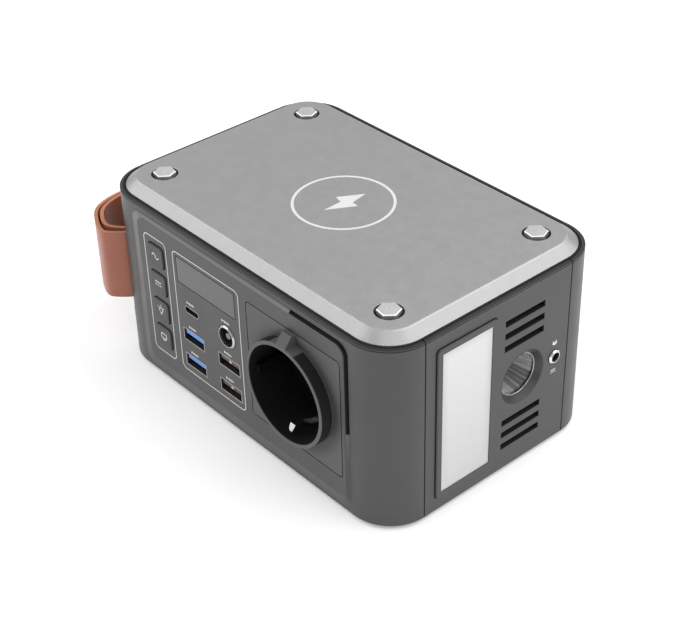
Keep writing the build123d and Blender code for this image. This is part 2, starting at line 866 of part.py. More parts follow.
def torch_lens_x():
    """Outer face of the torch lens."""
    return half_length - torch_dish_depth


def torch_bezel():
    """Dished ring that leads down to the lens."""
    front = half_length
    lens_x = torch_lens_x()
    back = lens_x - torch_lens_thickness
    outer = torch_bezel_radius
    seat = torch_lens_radius + 0.4
    points = [(front, outer - 0.15), (front, outer), (back, outer), (back, torch_lens_radius + fit)]
    points += [(lens_x, torch_lens_radius + fit), (lens_x, seat)]
    return torch_section(points)


def torch_lens():
    """Clear disc."""
    shape = Pos(torch_y, torch_z) * Circle(torch_lens_radius)
    return along_x(shape, torch_lens_x() - torch_lens_thickness, torch_lens_x())


def torch_reflector():
    """Bright bowl behind the lens, hollow, with a throat for the LED."""
    front = torch_lens_x() - torch_lens_thickness
    mouth = torch_lens_radius + fit
    depth = torch_reflector_depth
    steps = 8
    inside = []
    for index in range(steps + 1):
        share = index / steps
        radius = torch_throat_radius + (mouth - torch_reflector_wall - torch_throat_radius) * math.sqrt(share)
        inside.append((front - depth * (1 - share), radius))
    outside = [(x, r + torch_reflector_wall) for x, r in reversed(inside)]
    return torch_section(inside + outside)


def torch_led_board():
    """Round board with the torch's LED."""
    front = torch_lens_x() - torch_lens_thickness - torch_reflector_depth
    disc = Pos(torch_y, torch_z) * Circle(torch_lens_radius - 1)
    board = along_x(disc, front - board_thickness, front)
    led = Pos(torch_y, torch_z) * RectangleRounded(led_size, led_size, 0.4)
    return board + along_x(led, front, front + 1.2)


def charge_jack():
    """Charging input on the lamp end: bright ring round a socket."""
    centre = Pos(charge_jack_y, charge_jack_z)
    front = half_length + charge_jack_proud
    body = along_x(centre * Circle(charge_jack_radius), half_length - charge_jack_depth, front)
    body = chamfer(body.faces().sort_by(Axis.X)[-1].edges(), charge_jack_proud * 0.6)
    body = body - along_x(centre * Circle(charge_jack_bore), half_length - charge_jack_depth + 1, front + 1)
    return body + along_x(centre * Circle(0.5), half_length - charge_jack_depth + 1, half_length - 1)


# ---- fan ----
def fan_frame():
    """Square frame with a bore, four struts and a bearing boss."""
    centre = Pos(vent_y, torch_z)
    outer = RectangleRounded(fan_size, fan_size, 3)
    body = along_x(centre * (outer - Circle(fan_bore_radius)), fan_x, fan_x + fan_depth)
    strut = Rectangle(2 * fan_bore_radius + 1, fan_strut_width)
    cross = strut + Rot(0, 0, 90) * strut + Circle(fan_hub_radius)
    body = body + along_x(centre * cross, fan_x, fan_x + fan_strut_depth)
    bore = centre * Circle(fan_shaft_radius + fan_running_gap)
    boss = centre * Circle(fan_shaft_radius + 1.5)
    body = body + along_x(boss, fan_x, fan_x + fan_strut_depth + 2)
    for side_y in (-1, 1):
        for side_z in (-1, 1):
            reach = fan_size / 2 - 3.2
            hole = Pos(vent_y + side_y * reach, torch_z + side_z * reach) * Circle(1.6)
            body = body - along_x(hole, fan_x - 1, fan_x + fan_depth + 1)
    foot = block(fan_x, fan_x + fan_depth, vent_y - 8, vent_y + 8, base_top, torch_z - fan_size / 2 + 1)
    return body + foot - along_x(bore, fan_x - 1, fan_x + fan_depth + 1)


def fan_rotor():
    """Hub with seven pitched blades on a shaft."""
    low = fan_x + fan_strut_depth + fan_end_gap
    high = fan_x + fan_depth - fan_end_gap
    centre = Pos(vent_y, torch_z)
    hub = along_x(centre * Circle(fan_hub_radius), low, high)
    cup = centre * Circle(fan_shaft_radius + 1.5 + moving_gap)
    hub = hub - along_x(cup, low - 1, low + 2.6)
    tip = fan_bore_radius - fan_tip_gap
    span = tip - fan_hub_radius + 2
    chord = (high - low) / math.cos(math.radians(fan_blade_pitch))
    keep = along_x(centre * Circle(tip), low, high)
    rotor = hub
    for index in range(fan_blades):
        blade = Pos(0, fan_hub_radius - 2 + span / 2, 0) * Rot(0, fan_blade_pitch, 0)
        blade = blade * Box(chord, span + 1, fan_blade_thickness)
        blade = Rot(index * 360 / fan_blades, 0, 0) * blade
        rotor = rotor + (Pos((low + high) / 2, vent_y, torch_z) * blade & keep)
    shaft = centre * Circle(fan_shaft_radius)
    return rotor + along_x(shaft, fan_x + 0.4, high)


# ---- strap ----
def strap_pin_place(side):
    """Plan centre of a strap pin; side is -1 for the front corner."""
    angle = math.radians(strap_slot_angle)
    reach = corner_radius - wall - strap_ply - strap_pin_radius - 0.4
    return (-post_x - reach * math.cos(angle), side * (post_y + reach * math.sin(angle)))


def strap_pins():
    """Upright pins that the folded strap goes round."""
    pins = []
    half = strap_slot_height / 2 + pocket_wall
    for side in (-1, 1):
        place = Pos(*strap_pin_place(side))
        pins.append(along_z(place * Circle(strap_pin_radius), strap_z - half, strap_z + half))
    return pins


def pocket_liner():
    """Closed box behind a strap slot."""
    outer_reach = corner_radius - wall - fit
    width = strap_slot_width + 2 * pocket_wall
    low = outer_reach - pocket_depth
    height = strap_slot_height + 2 * pocket_wall
    outer = Pos((low + outer_reach + 2) / 2, 0, strap_z) * Box(outer_reach + 2 - low, width, height)
    inner_low = low + pocket_wall
    inner = Pos((inner_low + outer_reach + 4) / 2, 0, strap_z)
    inner = inner * Box(outer_reach + 4 - inner_low, strap_slot_width, strap_slot_height)
    turned = Pos(-post_x, -post_y, 0) * Rot(0, 0, 180 + strap_slot_angle) * (outer - inner)
    inside = along_z(Pos(-post_x, -post_y) * Circle(outer_reach), 0, body_height)
    liner = turned & inside
    pin = Pos(*strap_pin_place(-1)) * Circle(strap_pin_radius)
    return liner - along_z(pin, 0, body_height)


def strap_line():
    """Plan of half the strap's middle line, from the front pin to the middle of the loop."""
    band = strap_band()
    angle = math.radians(strap_slot_angle)
    exit_reach = corner_radius + strap_exit
    exit_point = (-post_x - exit_reach * math.cos(angle), -post_y - exit_reach * math.sin(angle))
    front_point = (strap_front_x, -half_depth - strap_front_reach + band / 2)
    far_x = -half_length - strap_reach + band / 2
    drop = (strap_front_x - far_x) * math.tan(math.radians(strap_slope))
    points = [strap_pin_place(-1), exit_point, front_point, (far_x, front_point[1] + drop), (far_x, 0)]
    return FilletPolyline(*points, radius=[strap_small_bend, strap_small_bend, strap_bend])


def strap_band():
    """Thickness of both plies together."""
    return 2 * strap_ply + strap_air


def strap():
    """Folded leather loop: one closed band round both pins."""
    z_low = strap_z - strap_height / 2
    z_high = strap_z + strap_height / 2
    half = along_z(trace(strap_line(), line_width=strap_band()), z_low, z_high)
    eye = Pos(*strap_pin_place(-1)) * Circle(strap_pin_radius + strap_ply)
    half = half + along_z(eye, z_low, z_high)
    half = half - along_z(Pos(*strap_pin_place(-1)) * Circle(strap_pin_radius), 0, body_height)
    return half + mirrored(half)


# ---- battery ----
def pack_limits():
    """Depth limits of the cell pack: front face, back face."""
    back = inner_y - pack_back_gap
    return back - cell_length - 2 * strip_thickness - 2, back


def cell_centres():
    """Centres of the cells in X and Z."""
    low_z = base_top + holder_margin + cell_pitch / 2
    first_x = pack_x - (cell_columns - 1) * cell_pitch / 2
    columns = range(cell_columns)
    return [(first_x + c * cell_pitch, low_z + r * cell_pitch) for r in range(cell_rows) for c in columns]


def cell_span():
    """Depth limits of the cells."""
    front, back = pack_limits()
    return front + strip_thickness + 1, back - strip_thickness - 1


def battery_cells():
    """Round cells lying front to back."""
    front, back = cell_span()
    cells = []
    for x, z in cell_centres():
        can = along_y(Pos(x, z) * Circle(cell_radius), front, back)
        cells.append(chamfer(can.edges().filter_by(GeomType.CIRCLE), 0.6))
    return cells


def cell_holder(front_end):
    """Plate with a bore for each cell and a lip over the cells' ends."""
    front, back = cell_span()
    low, high = (front, front + holder_thickness) if front_end else (back - holder_thickness, back)
    width = cell_columns * cell_pitch + 2 * holder_margin
    height = cell_rows * cell_pitch + 2 * holder_margin
    centre_z = base_top + height / 2
    plate_low = low - 1 if front_end else low
    plate_high = high if front_end else high + 1
    plate = along_y(Pos(pack_x, centre_z) * Rectangle(width, height), plate_low, plate_high)
    for x, z in cell_centres():
        plate = plate - along_y(Pos(x, z) * Circle(cell_radius + 0.1), low, high)
        plate = plate - along_y(Pos(x, z) * Circle(cell_radius - 2.5), low - 2, high + 2)
    return plate


def nickel_strips():
    """Strips welded across the cell ends."""
    front, back = cell_span()
    strips = []
    centres = cell_centres()
    for row in range(cell_rows):
        z = centres[row * cell_columns][1]
        x_low = centres[0][0] - 4
        x_high = centres[cell_columns - 1][0] + 4
        for face, sign in ((front, -1), (back, 1)):
            y_ends = sorted((face + sign * 1.0, face + sign * (1.0 + strip_thickness)))
            strip = block(x_low, x_high, *y_ends, z - strip_width / 2, z + strip_width / 2)
            for column in range(cell_columns):
                x = centres[row * cell_columns + column][0]
                pad_ends = sorted((face, face + sign * 1.0))
                strip = strip + block(x - 2.5, x + 2.5, *pad_ends, z - 2.5, z + 2.5)
            strips.append(strip)
    return strips


def battery_board():
    """Battery management board on top of the holders."""
    top = base_top + cell_rows * cell_pitch + 2 * holder_margin
    front, back = cell_span()
    half = cell_columns * cell_pitch / 2 - 4
    board = block(pack_x - half, pack_x + half, front, back, top, top + board_thickness)
    for index in range(4):
        x = pack_x - 24 + index * 16
        chip = block(x - 4, x + 4, front + 14, front + 20, top + board_thickness, top + board_thickness + 2)
        board = board + chip
    return board


# ---- inverter ----
def inverter_limits():
    """Y limits of the inverter board."""
    return socket_floor_y() + socket_insert_thickness + 3, inner_y - 4


def inverter_board():
    """Upright board between the battery and the fan."""
    y_low, y_high = inverter_limits()
    return block(inverter_x, inverter_x + board_thickness, y_low, y_high, base_top, base_top + inverter_height)


def transformer_core():
    """Ferrite core: two side legs joined by two yokes."""
    x_low = inverter_x + board_thickness
    y_low = inverter_limits()[0] + 4
    y_high = y_low + transformer_width
    z_low = base_top + 4
    z_high = z_low + transformer_height
    body = block(x_low, x_low + transformer_depth, y_low, y_high, z_low, z_high)
    window = block(x_low - 1, x_low + transformer_depth + 1, y_low + 4, y_high - 4, z_low + 4, z_high - 4)
    middle = (y_low + y_high) / 2
    leg = block(x_low + 4, x_low + transformer_depth - 4, middle - 3.5, middle + 3.5, z_low + 3, z_high - 3)
    return body - window + leg


def transformer_winding():
    """Winding round the middle leg."""
    x_low = inverter_x + board_thickness
    middle = inverter_limits()[0] + 4 + transformer_width / 2
    z_low = base_top + 4 + 4.4
    z_high = base_top + 4 + transformer_height - 4.4
    reach = transformer_width / 2 - 4.4
    body = block(x_low + 1, x_low + transformer_depth - 1, middle - reach, middle + reach, z_low, z_high)
    leg = block(x_low + 4, x_low + transformer_depth - 4, middle - 3.5, middle + 3.5, z_low - 1, z_high + 1)
    return body - leg


def heat_sinks():
    """Two finned sinks on the inverter board."""
    x_low = inverter_x + board_thickness
    y_low = inverter_limits()[0] + 4
    sinks = []
    for index in range(2):
        y = y_low + index * (transformer_width + 8)
        z_low = base_top + transformer_height + 10
        z_high = base_top + inverter_height - 4
        sink = block(x_low, x_low + 3, y, y + transformer_width, z_low, z_high)
        pitch = (transformer_width - 2) / (heat_sink_fins - 1)
        for fin in range(heat_sink_fins):
            fin_y = y + fin * pitch
            sink = sink + block(x_low + 3, x_low + 15, fin_y, fin_y + 2, z_low, z_high)
        sinks.append(sink)
    return sinks


def capacitors():
    """Round capacitors on the inverter board."""
    x_low = inverter_x + board_thickness
    cans = []
    for index in range(3):
        y = inverter_limits()[0] + 4 + transformer_width + 8 + index * (2 * capacitor_radius + 1)
        can = Pos(y, base_top + 12) * Circle(capacitor_radius)
        cans.append(along_x(can, x_low, x_low + capacitor_length))
    return cans


BUTTON_NAMES = ["button_ac", "button_dc", "button_lamp", "button_display"]


def build():
    """Write every node."""
    os.makedirs("parts", exist_ok=True)
    write("base_plate", base_plate())
    write("rubber_base_pad", rubber_base_pad())
    write("base_screws", *base_screws())
    write("front_shell", front_shell())
    write("rear_shell", rear_shell())
    write("right_end_panel", right_end_panel())
    write("left_end_panel", left_end_panel())
    write("top_trim", top_trim())
    write("top_cover", top_cover())
    write("cover_screws", *cover_screws())
    write("wireless_coil", wireless_coil())
    write("ferrite_sheet", ferrite_sheet())
    for name, z in zip(BUTTON_NAMES, button_levels()):
        write(name, button(z))
    write("button_board", button_board())
    write("button_switches", *button_switches())
    write("button_guide", button_guide())
    write("display_window", display_window())
    write("display_module", display_module())
    write("usb_board", usb_board())
    write("usb_a_shells", *usb_a_shells())
    write("usb_a_blue_tongues", *usb_a_tongues(port_left_x))
    write("usb_a_light_tongues", *usb_a_tongues(port_right_x))
    write("usb_a_contacts", *usb_a_contacts())
    write("usb_c_shell", usb_c_shell())
    write("usb_c_tongue", usb_c_tongue())
    write("dc_output_jack", dc_output_jack())
    write("dc_output_pin", dc_output_pin())
    write("socket_housing", socket_housing())
    write("socket_insert", socket_insert())
    write("earth_clips", *earth_clips())
    write("socket_contacts", *socket_contacts())
    write("lamp_frame", lamp_frame())
    write("lamp_diffuser", lamp_diffuser())
    write("lamp_board", lamp_board())
    write("lamp_leds", *lamp_leds())
    write("torch_bezel", torch_bezel())
    write("torch_lens", torch_lens())
    write("torch_reflector", torch_reflector())
    write("torch_led_board", torch_led_board())
    write("charge_jack", charge_jack())
    write("fan_frame", fan_frame())
    write("fan_rotor", fan_rotor())
    write("strap_pins", *strap_pins())
    write("strap_pockets", pocket_liner(), mirrored(pocket_liner()))
    write("strap", strap())
    write("battery_cells", *battery_cells())
    write("cell_holder_front", cell_holder(True))
    write("cell_holder_rear", cell_holder(False))
    write("nickel_strips", *nickel_strips())
    write("battery_board", battery_board())
    write("inverter_board", inverter_board())
    write("transformer_core", transformer_core())
    write("transformer_winding", transformer_winding())
    write("heat_sinks", *heat_sinks())
    write("capacitors", *capacitors())


build()
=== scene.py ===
"""Looks of a portable power station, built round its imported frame."""

from __future__ import annotations

import logging
import math
from dataclasses import dataclass, field
from enum import Enum

import bmesh
import bpy
from mathutils import Matrix, Vector

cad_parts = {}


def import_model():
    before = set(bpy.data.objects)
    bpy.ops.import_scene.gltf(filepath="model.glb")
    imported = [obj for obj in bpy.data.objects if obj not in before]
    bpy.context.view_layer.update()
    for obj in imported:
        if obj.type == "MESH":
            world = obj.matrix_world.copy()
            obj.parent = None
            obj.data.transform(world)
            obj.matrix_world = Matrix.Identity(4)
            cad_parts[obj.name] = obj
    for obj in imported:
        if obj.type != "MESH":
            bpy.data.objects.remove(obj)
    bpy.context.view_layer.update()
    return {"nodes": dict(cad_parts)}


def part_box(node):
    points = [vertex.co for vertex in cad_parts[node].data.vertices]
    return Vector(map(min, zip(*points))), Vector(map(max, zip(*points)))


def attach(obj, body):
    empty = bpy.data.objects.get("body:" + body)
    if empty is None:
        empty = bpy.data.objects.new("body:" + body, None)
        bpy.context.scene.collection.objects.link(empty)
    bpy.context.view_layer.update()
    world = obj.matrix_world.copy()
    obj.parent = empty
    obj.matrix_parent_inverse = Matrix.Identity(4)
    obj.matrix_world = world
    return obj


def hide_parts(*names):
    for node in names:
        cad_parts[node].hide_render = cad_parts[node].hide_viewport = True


LOG = logging.getLogger("power_station")
MM = 0.001
STATION = "station"
FINISH_PREFIX = "finish_"
NOISE_LOW, NOISE_HIGH = 0.3, 0.7
EDGE_SAMPLES = 6
LEAST_ROUGHNESS = 0.02
FULL_TURN = 360.0
QUARTERS = 4
WHITE = (1.0, 1.0, 1.0, 1.0)

Color = tuple[float, float, float]
Place = tuple[float, float, float]
Point = tuple[float, float]
Axes = tuple[str, str]
Socket = bpy.types.NodeSocket

# The body in plan, and the middles of what stands on its front (x, z) and right end (y, z), in millimetres.
TOP_AXES: Axes = ("X", "Y")
FRONT_AXES: Axes = ("X", "Z")
END_AXES: Axes = ("Y", "Z")
BODY_SIZE: Point = (163.0, 107.0)
BODY_CORNER = 17.7
SOCKET_CENTRE: Point = (34.2, 42.5)
DC_OUTPUT: Point = (-4.1, 45.2)
USB_LIGHT_PORTS: tuple[Point, ...] = ((-4.1, 21.1), (-4.1, 33.1))
CHARGE_INPUT: Point = (29.0, 40.3)
TORCH_AXIS: Point = (12.45, 39.6)
LAMP_CENTRE: Point = (-16.4, 40.6)
COVER_SCREWS: tuple[Point, ...] = tuple((x, y) for x in (-63.8, 63.8) for y in (-35.8, 35.8))


# ---------------------------------------------------------------- finishes
class NodeGraph:
    """One material's node tree, with the few nodes the finishes share."""

    def __init__(self, name: str) -> None:
        """Starts an empty material.

        Args:
            name: The material's name.
        """
        self.material = bpy.data.materials.new(name)
        self.material.use_nodes = True
        self.tree = self.material.node_tree
        self.shader = self.tree.nodes["Principled BSDF"]
        self.place = self.add("ShaderNodeTexCoord").outputs["Object"]

    def add(self, kind: str, **values: object) -> bpy.types.Node:
        """Adds a node and sets its properties.

        Args:
            kind: The node's type name.
            **values: Properties of the node.

        Returns:
            The new node.
        """
        node = self.tree.nodes.new(kind)
        for key, value in values.items():
            setattr(node, key, value)
        return node

    def join(self, source: Socket, target: Socket) -> None:
        """Links two sockets."""
        self.tree.links.new(source, target)

    def noise(self, size: float, detail: float, stretch: Place = (1.0, 1.0, 1.0)) -> Socket:
        """Adds noise on the object's own coordinates.

        Args:
            size: Size of its largest spots, in metres.
            detail: Octaves of finer spots.
            stretch: Frequency along each axis.

        Returns:
            The noise's value.
        """
        mapping = self.add("ShaderNodeMapping")
        mapping.inputs["Scale"].default_value = stretch
        self.join(self.place, mapping.inputs["Vector"])
        noise = self.add("ShaderNodeTexNoise")
        noise.inputs["Scale"].default_value = 1.0 / size
        noise.inputs["Detail"].default_value = detail
        self.join(mapping.outputs["Vector"], noise.inputs["Vector"])
        return noise.outputs["Fac"]

    def spread(self, value: Socket, low: float, high: float) -> Socket:
        """Maps the middle of a noise value to a range.

        Args:
            value: A noise value.
            low: Result where the noise is at its usual low.
            high: Result where the noise is at its usual high.

        Returns:
            The mapped value.
        """
        node = self.add("ShaderNodeMapRange")
        node.inputs["From Min"].default_value = NOISE_LOW
        node.inputs["From Max"].default_value = NOISE_HIGH
        node.inputs["To Min"].default_value = low
        node.inputs["To Max"].default_value = high
        self.join(value, node.inputs["Value"])
        return node.outputs["Result"]

    def blend(self, value: Socket, first: Color | Socket, second: Color) -> Socket:
        """Mixes two colours by a value.

        Args:
            value: The share of the second colour.
            first: Colour at 0, or the socket that gives it.
            second: Colour at 1.

        Returns:
            The mixed colour.
        """
        node = self.add("ShaderNodeMix", data_type="RGBA")
        sockets = [socket for socket in node.inputs if socket.type == "RGBA"]
        if isinstance(first, tuple):
            sockets[0].default_value = (*first, 1.0)
        else:
            self.join(first, sockets[0])
        sockets[1].default_value = (*second, 1.0)
        self.join(value, node.inputs["Factor"])
        return next(socket for socket in node.outputs if socket.type == "RGBA")

    def math(self, operation: str, first: Socket, *values: float | Socket) -> Socket:
        """Adds a sum on a value.

        Args:
            operation: The sum's name.
            first: The value.
            *values: The sum's other terms.

        Returns:
            The result.
        """
        node = self.add("ShaderNodeMath", operation=operation)
        self.join(first, node.inputs[0])
        for index, value in enumerate(values, start=1):
            if isinstance(value, (int, float)):
                node.inputs[index].default_value = value
            else:
                self.join(value, node.inputs[index])
        return node.outputs[0]

    def parts(self) -> dict[str, Socket]:
        """Gives the object's own coordinates one by one.

        Returns:
            The coordinates by axis.
        """
        node = self.add("ShaderNodeSeparateXYZ")
        self.join(self.place, node.inputs[0])
        return dict(zip("XYZ", node.outputs))

    def past(self, place: Socket, level: float) -> Socket:
        """Gives how far a coordinate lies past a level on either side.

        Args:
            place: The coordinate.
            level: The level, in metres.

        Returns:
            The distance, or 0 within the level.
        """
        distance = self.math("SUBTRACT", self.math("ABSOLUTE", place), level)
        return self.math("MAXIMUM", distance, 0.0)

    def length(self, first: Socket, second: Socket) -> Socket:
        """Gives the length of two sides at a right angle."""
        total = self.math("MULTIPLY_ADD", second, second, self.math("MULTIPLY", first, first))
        return self.math("SQRT", total)

    def step(self, value: Socket, edge: float, soft: float) -> Socket:
        """Turns a value into 0 below an edge and 1 above it.

        Args:
            value: The value.
            edge: Where the change begins.
            soft: How wide the change is.

        Returns:
            The step, from 0 to 1.
        """
        node = self.add("ShaderNodeMapRange")
        node.inputs["From Min"].default_value = edge
        node.inputs["From Max"].default_value = edge + soft
        self.join(value, node.inputs["Value"])
        return node.outputs["Result"]

    def relief(self, height: Socket, depth: float, edge: float = 0.0) -> None:
        """Raises the surface by a height value.

        Args:
            height: The height, from 0 to 1.
            depth: Depth of the relief, in metres.
            edge: Radius that sharp edges are shaded with, in metres.
        """
        bump = self.add("ShaderNodeBump")
        bump.inputs["Distance"].default_value = depth
        self.join(height, bump.inputs["Height"])
        if edge > 0.0:
            rounded = self.add("ShaderNodeBevel", samples=EDGE_SAMPLES)
            rounded.inputs["Radius"].default_value = edge
            self.join(rounded.outputs["Normal"], bump.inputs["Normal"])
        self.join(bump.outputs["Normal"], self.shader.inputs["Normal"])


@dataclass(frozen=True)
class Beyond:
    """Covers what lies past a level along one axis."""

    axis: str
    level: float
    side: float = 1.0
    soft: float = 0.3

    def cover(self, graph: NodeGraph) -> Socket:
        """Adds the nodes that find the covered part.

        Args:
            graph: The material's nodes.

        Returns:
            1 in the covered part and 0 outside it.
        """
        place = graph.parts()[self.axis]
        past = graph.math("SUBTRACT", place, self.level * MM)
        return graph.step(graph.math("MULTIPLY", past, self.side), 0.0, self.soft * MM)


@dataclass(frozen=True)
class Panel:
    """Covers a rounded rectangle seen along one axis, or all that lies outside it.

    Sizes and places are in millimetres, and limits bound the region along other axes.
    """

    axes: Axes
    centre: Point
    size: Point
    radius: float
    outside: bool = False
    soft: float = 0.1
    limits: tuple[Beyond, ...] = ()
    amount: float = 1.0

    def cover(self, graph: NodeGraph) -> Socket:
        """Adds the nodes that find the covered part.

        Args:
            graph: The material's nodes.

        Returns:
            The amount in the covered part and 0 outside it.
        """
        sides = []
        for axis, middle, size in zip(self.axes, self.centre, self.size):
            place = graph.math("SUBTRACT", graph.parts()[axis], middle * MM)
            sides.append(graph.past(place, (size / 2 - self.radius) * MM))
        reach = graph.length(*sides)
        covered = graph.step(reach, self.radius * MM, self.soft * MM)
        if not self.outside:
            covered = graph.math("MULTIPLY_ADD", covered, -1.0, 1.0)
        for limit in self.limits:
            covered = graph.math("MULTIPLY", covered, limit.cover(graph))
        return graph.math("MULTIPLY", covered, self.amount)


def under_skin(depth: float, soft: float = 0.2) -> Panel:
    """Covers what lies deeper than a distance under the body's rounded plan.

    Args:
        depth: The distance, in millimetres.
        soft: How wide the change is.

    Returns:
        The region.
    """
    length, width = (side - 2 * depth for side in BODY_SIZE)
    return Panel(TOP_AXES, (0, 0), (length, width), BODY_CORNER - depth, soft=soft)


def round_hole(axes: Axes, centre: Point, radius: float, *limits: Beyond) -> Panel:
    """Covers a round region about a line along one axis.

    Args:
        axes: The two axes across the line.
        centre: The line's place on them.
        radius: The region's radius.
        *limits: What else bounds it.

    Returns:
        The region.
    """
    return Panel(axes, centre, (2 * radius, 2 * radius), radius - 0.01, soft=0.1, limits=limits)


Region = Beyond | Panel


@dataclass(frozen=True)
class Finish:
    """A moulded, painted or metal finish with fine grain and slight mottling.

    Its colour is darkened in its shaded regions, such as deep holes, gaps and recesses, as painted shade. A
    second tone in other regions is laid over the colour: a painted highlight on the front's rim, a painted
    darker tone on the cover's chamfer where the lights catch it, and copper dots on the light USB tongues.
    """

    name: str
    color: Color
    roughness: float
    metallic: float = 0.0
    grain: float = 0.0005
    depth: float = 0.00001
    mottle: float = 0.06
    mottle_size: float = 0.02
    gloss_spread: float = 0.05
    specular: float = 0.5
    coat: float = 0.0
    # Painted shade: the shade colour darkens the shaded regions, standing in for the shade in holes, gaps
    # and recesses.
    shade: Color = (0.006, 0.006, 0.006)
    shade_roughness: float = 0.9
    shaded: tuple[Region, ...] = ()
    # Second tone: painted highlight and painted darker tone where light falls, and also copper dots.
    painted_light_and_dot_tone: Color = (0.13, 0.13, 0.13)
    painted_light_and_dot_regions: tuple[Region, ...] = ()
    edge: float = 0.0

    def make(self) -> bpy.types.Material:
        """Makes the finish's material.

        Returns:
            The material.
        """
        graph = NodeGraph(FINISH_PREFIX + self.name)
        self.dress(graph)
        return graph.material

    def dress(self, graph: NodeGraph) -> None:
        """Sets the shader up.

        Args:
            graph: The material's nodes.
        """
        shader = graph.shader
        shader.inputs["Metallic"].default_value = self.metallic
        shader.inputs["Specular IOR Level"].default_value = self.specular
        shader.inputs["Coat Weight"].default_value = self.coat
        fine = graph.noise(self.grain, 2.0)
        broad = graph.noise(self.mottle_size, 4.0)
        mixed = self.mottled(graph, fine, broad)
        # Painted highlight and painted darker tone, and copper dots, laid over the colour in their regions.
        for region in self.painted_light_and_dot_regions:
            mixed = graph.blend(region.cover(graph), mixed, self.painted_light_and_dot_tone)
        low = max(LEAST_ROUGHNESS, self.roughness - self.gloss_spread)
        gloss = graph.spread(broad, low, self.roughness + self.gloss_spread)
        # Painted shade: darken the colour and dull the gloss and the metal in holes, gaps and recesses.
        painted_shade_share = None
        for region in self.shaded:
            covered = region.cover(graph)
            mixed = graph.blend(covered, mixed, self.shade)
            painted_shade_share = covered if painted_shade_share is None else graph.math("MAXIMUM", painted_shade_share, covered)
        if painted_shade_share is not None:
            gloss = graph.math("MAXIMUM", gloss, graph.math("MULTIPLY", painted_shade_share, self.shade_roughness))
            if self.metallic > 0:
                bare = graph.math("MULTIPLY_ADD", painted_shade_share, -self.metallic, self.metallic)
                graph.join(bare, shader.inputs["Metallic"])
        if isinstance(mixed, tuple):
            shader.inputs["Base Color"].default_value = (*mixed, 1.0)
        else:
            graph.join(mixed, shader.inputs["Base Color"])
        graph.join(gloss, shader.inputs["Roughness"])
        graph.relief(self.texture(graph, fine), self.depth, self.edge * MM)

    def mottled(self, graph: NodeGraph, fine: Socket, broad: Socket) -> Color | Socket:
        """Varies the colour slightly.

        Args:
            graph: The material's nodes.
            fine: The finish's fine noise.
            broad: The finish's broad noise.

        Returns:
            The varied colour, or the plain one where there is no mottling.
        """
        if self.mottle == 0:
            return self.color
        both = graph.math("MULTIPLY_ADD", fine, 0.5, graph.math("MULTIPLY", broad, 0.5))
        dark = tuple(c * (1.0 - self.mottle) for c in self.color)
        light = tuple(min(1.0, c * (1.0 + self.mottle)) for c in self.color)
        return graph.blend(graph.spread(both, 0.0, 1.0), dark, light)

    def texture(self, graph: NodeGraph, grain: Socket) -> Socket:
        """Gives the height of the surface's fine relief, here its plain grain."""
        return grain


@dataclass(frozen=True)
class BrushedMetal(Finish):
    """Bare metal with fine drawn lines along one axis."""

    lines: Place = (1.0, 1.0, 12.0)

    def texture(self, graph: NodeGraph, grain: Socket) -> Socket:
        """Gives the drawn lines in place of the grain."""
        return graph.noise(self.grain, 3.0, self.lines)


@dataclass(frozen=True)
class Leather(Finish):
    """Smooth leather with pores, faint creases and slight sheen."""

    pore: float = 0.0009
    pore_share: float = 0.6
    crease: float = 0.006
    crease_stretch: Place = (1.0, 1.0, 0.35)
    sheen: float = 0.08
    sheen_roughness: float = 0.4

    def dress(self, graph: NodeGraph) -> None:
        """Adds the sheen.

        Args:
            graph: The material's nodes.
        """
        super().dress(graph)
        graph.shader.inputs["Sheen Weight"].default_value = self.sheen
        graph.shader.inputs["Sheen Roughness"].default_value = self.sheen_roughness

    def texture(self, graph: NodeGraph, grain: Socket) -> Socket:
        """Gives pores and creases in place of the grain.

        Args:
            graph: The material's nodes.
            grain: The finish's fine noise, not used here.

        Returns:
            The height.
        """
        cells = graph.add("ShaderNodeTexVoronoi", feature="DISTANCE_TO_EDGE")
        cells.inputs["Scale"].default_value = 1.0 / self.pore
        graph.join(graph.place, cells.inputs["Vector"])
        creases = graph.noise(self.crease, 5.0, self.crease_stretch)
        return graph.math("MULTIPLY_ADD", cells.outputs["Distance"], self.pore_share, creases)


@dataclass(frozen=True)
class ClearLens(Finish):
    """Clear moulded plastic, thin enough not to bend what lies behind it."""

    opacity: float = 0.12

    def dress(self, graph: NodeGraph) -> None:
        """Lets light through the plain finish.

        Args:
            graph: The material's nodes.
        """
        super().dress(graph)
        graph.shader.inputs["Alpha"].default_value = self.opacity


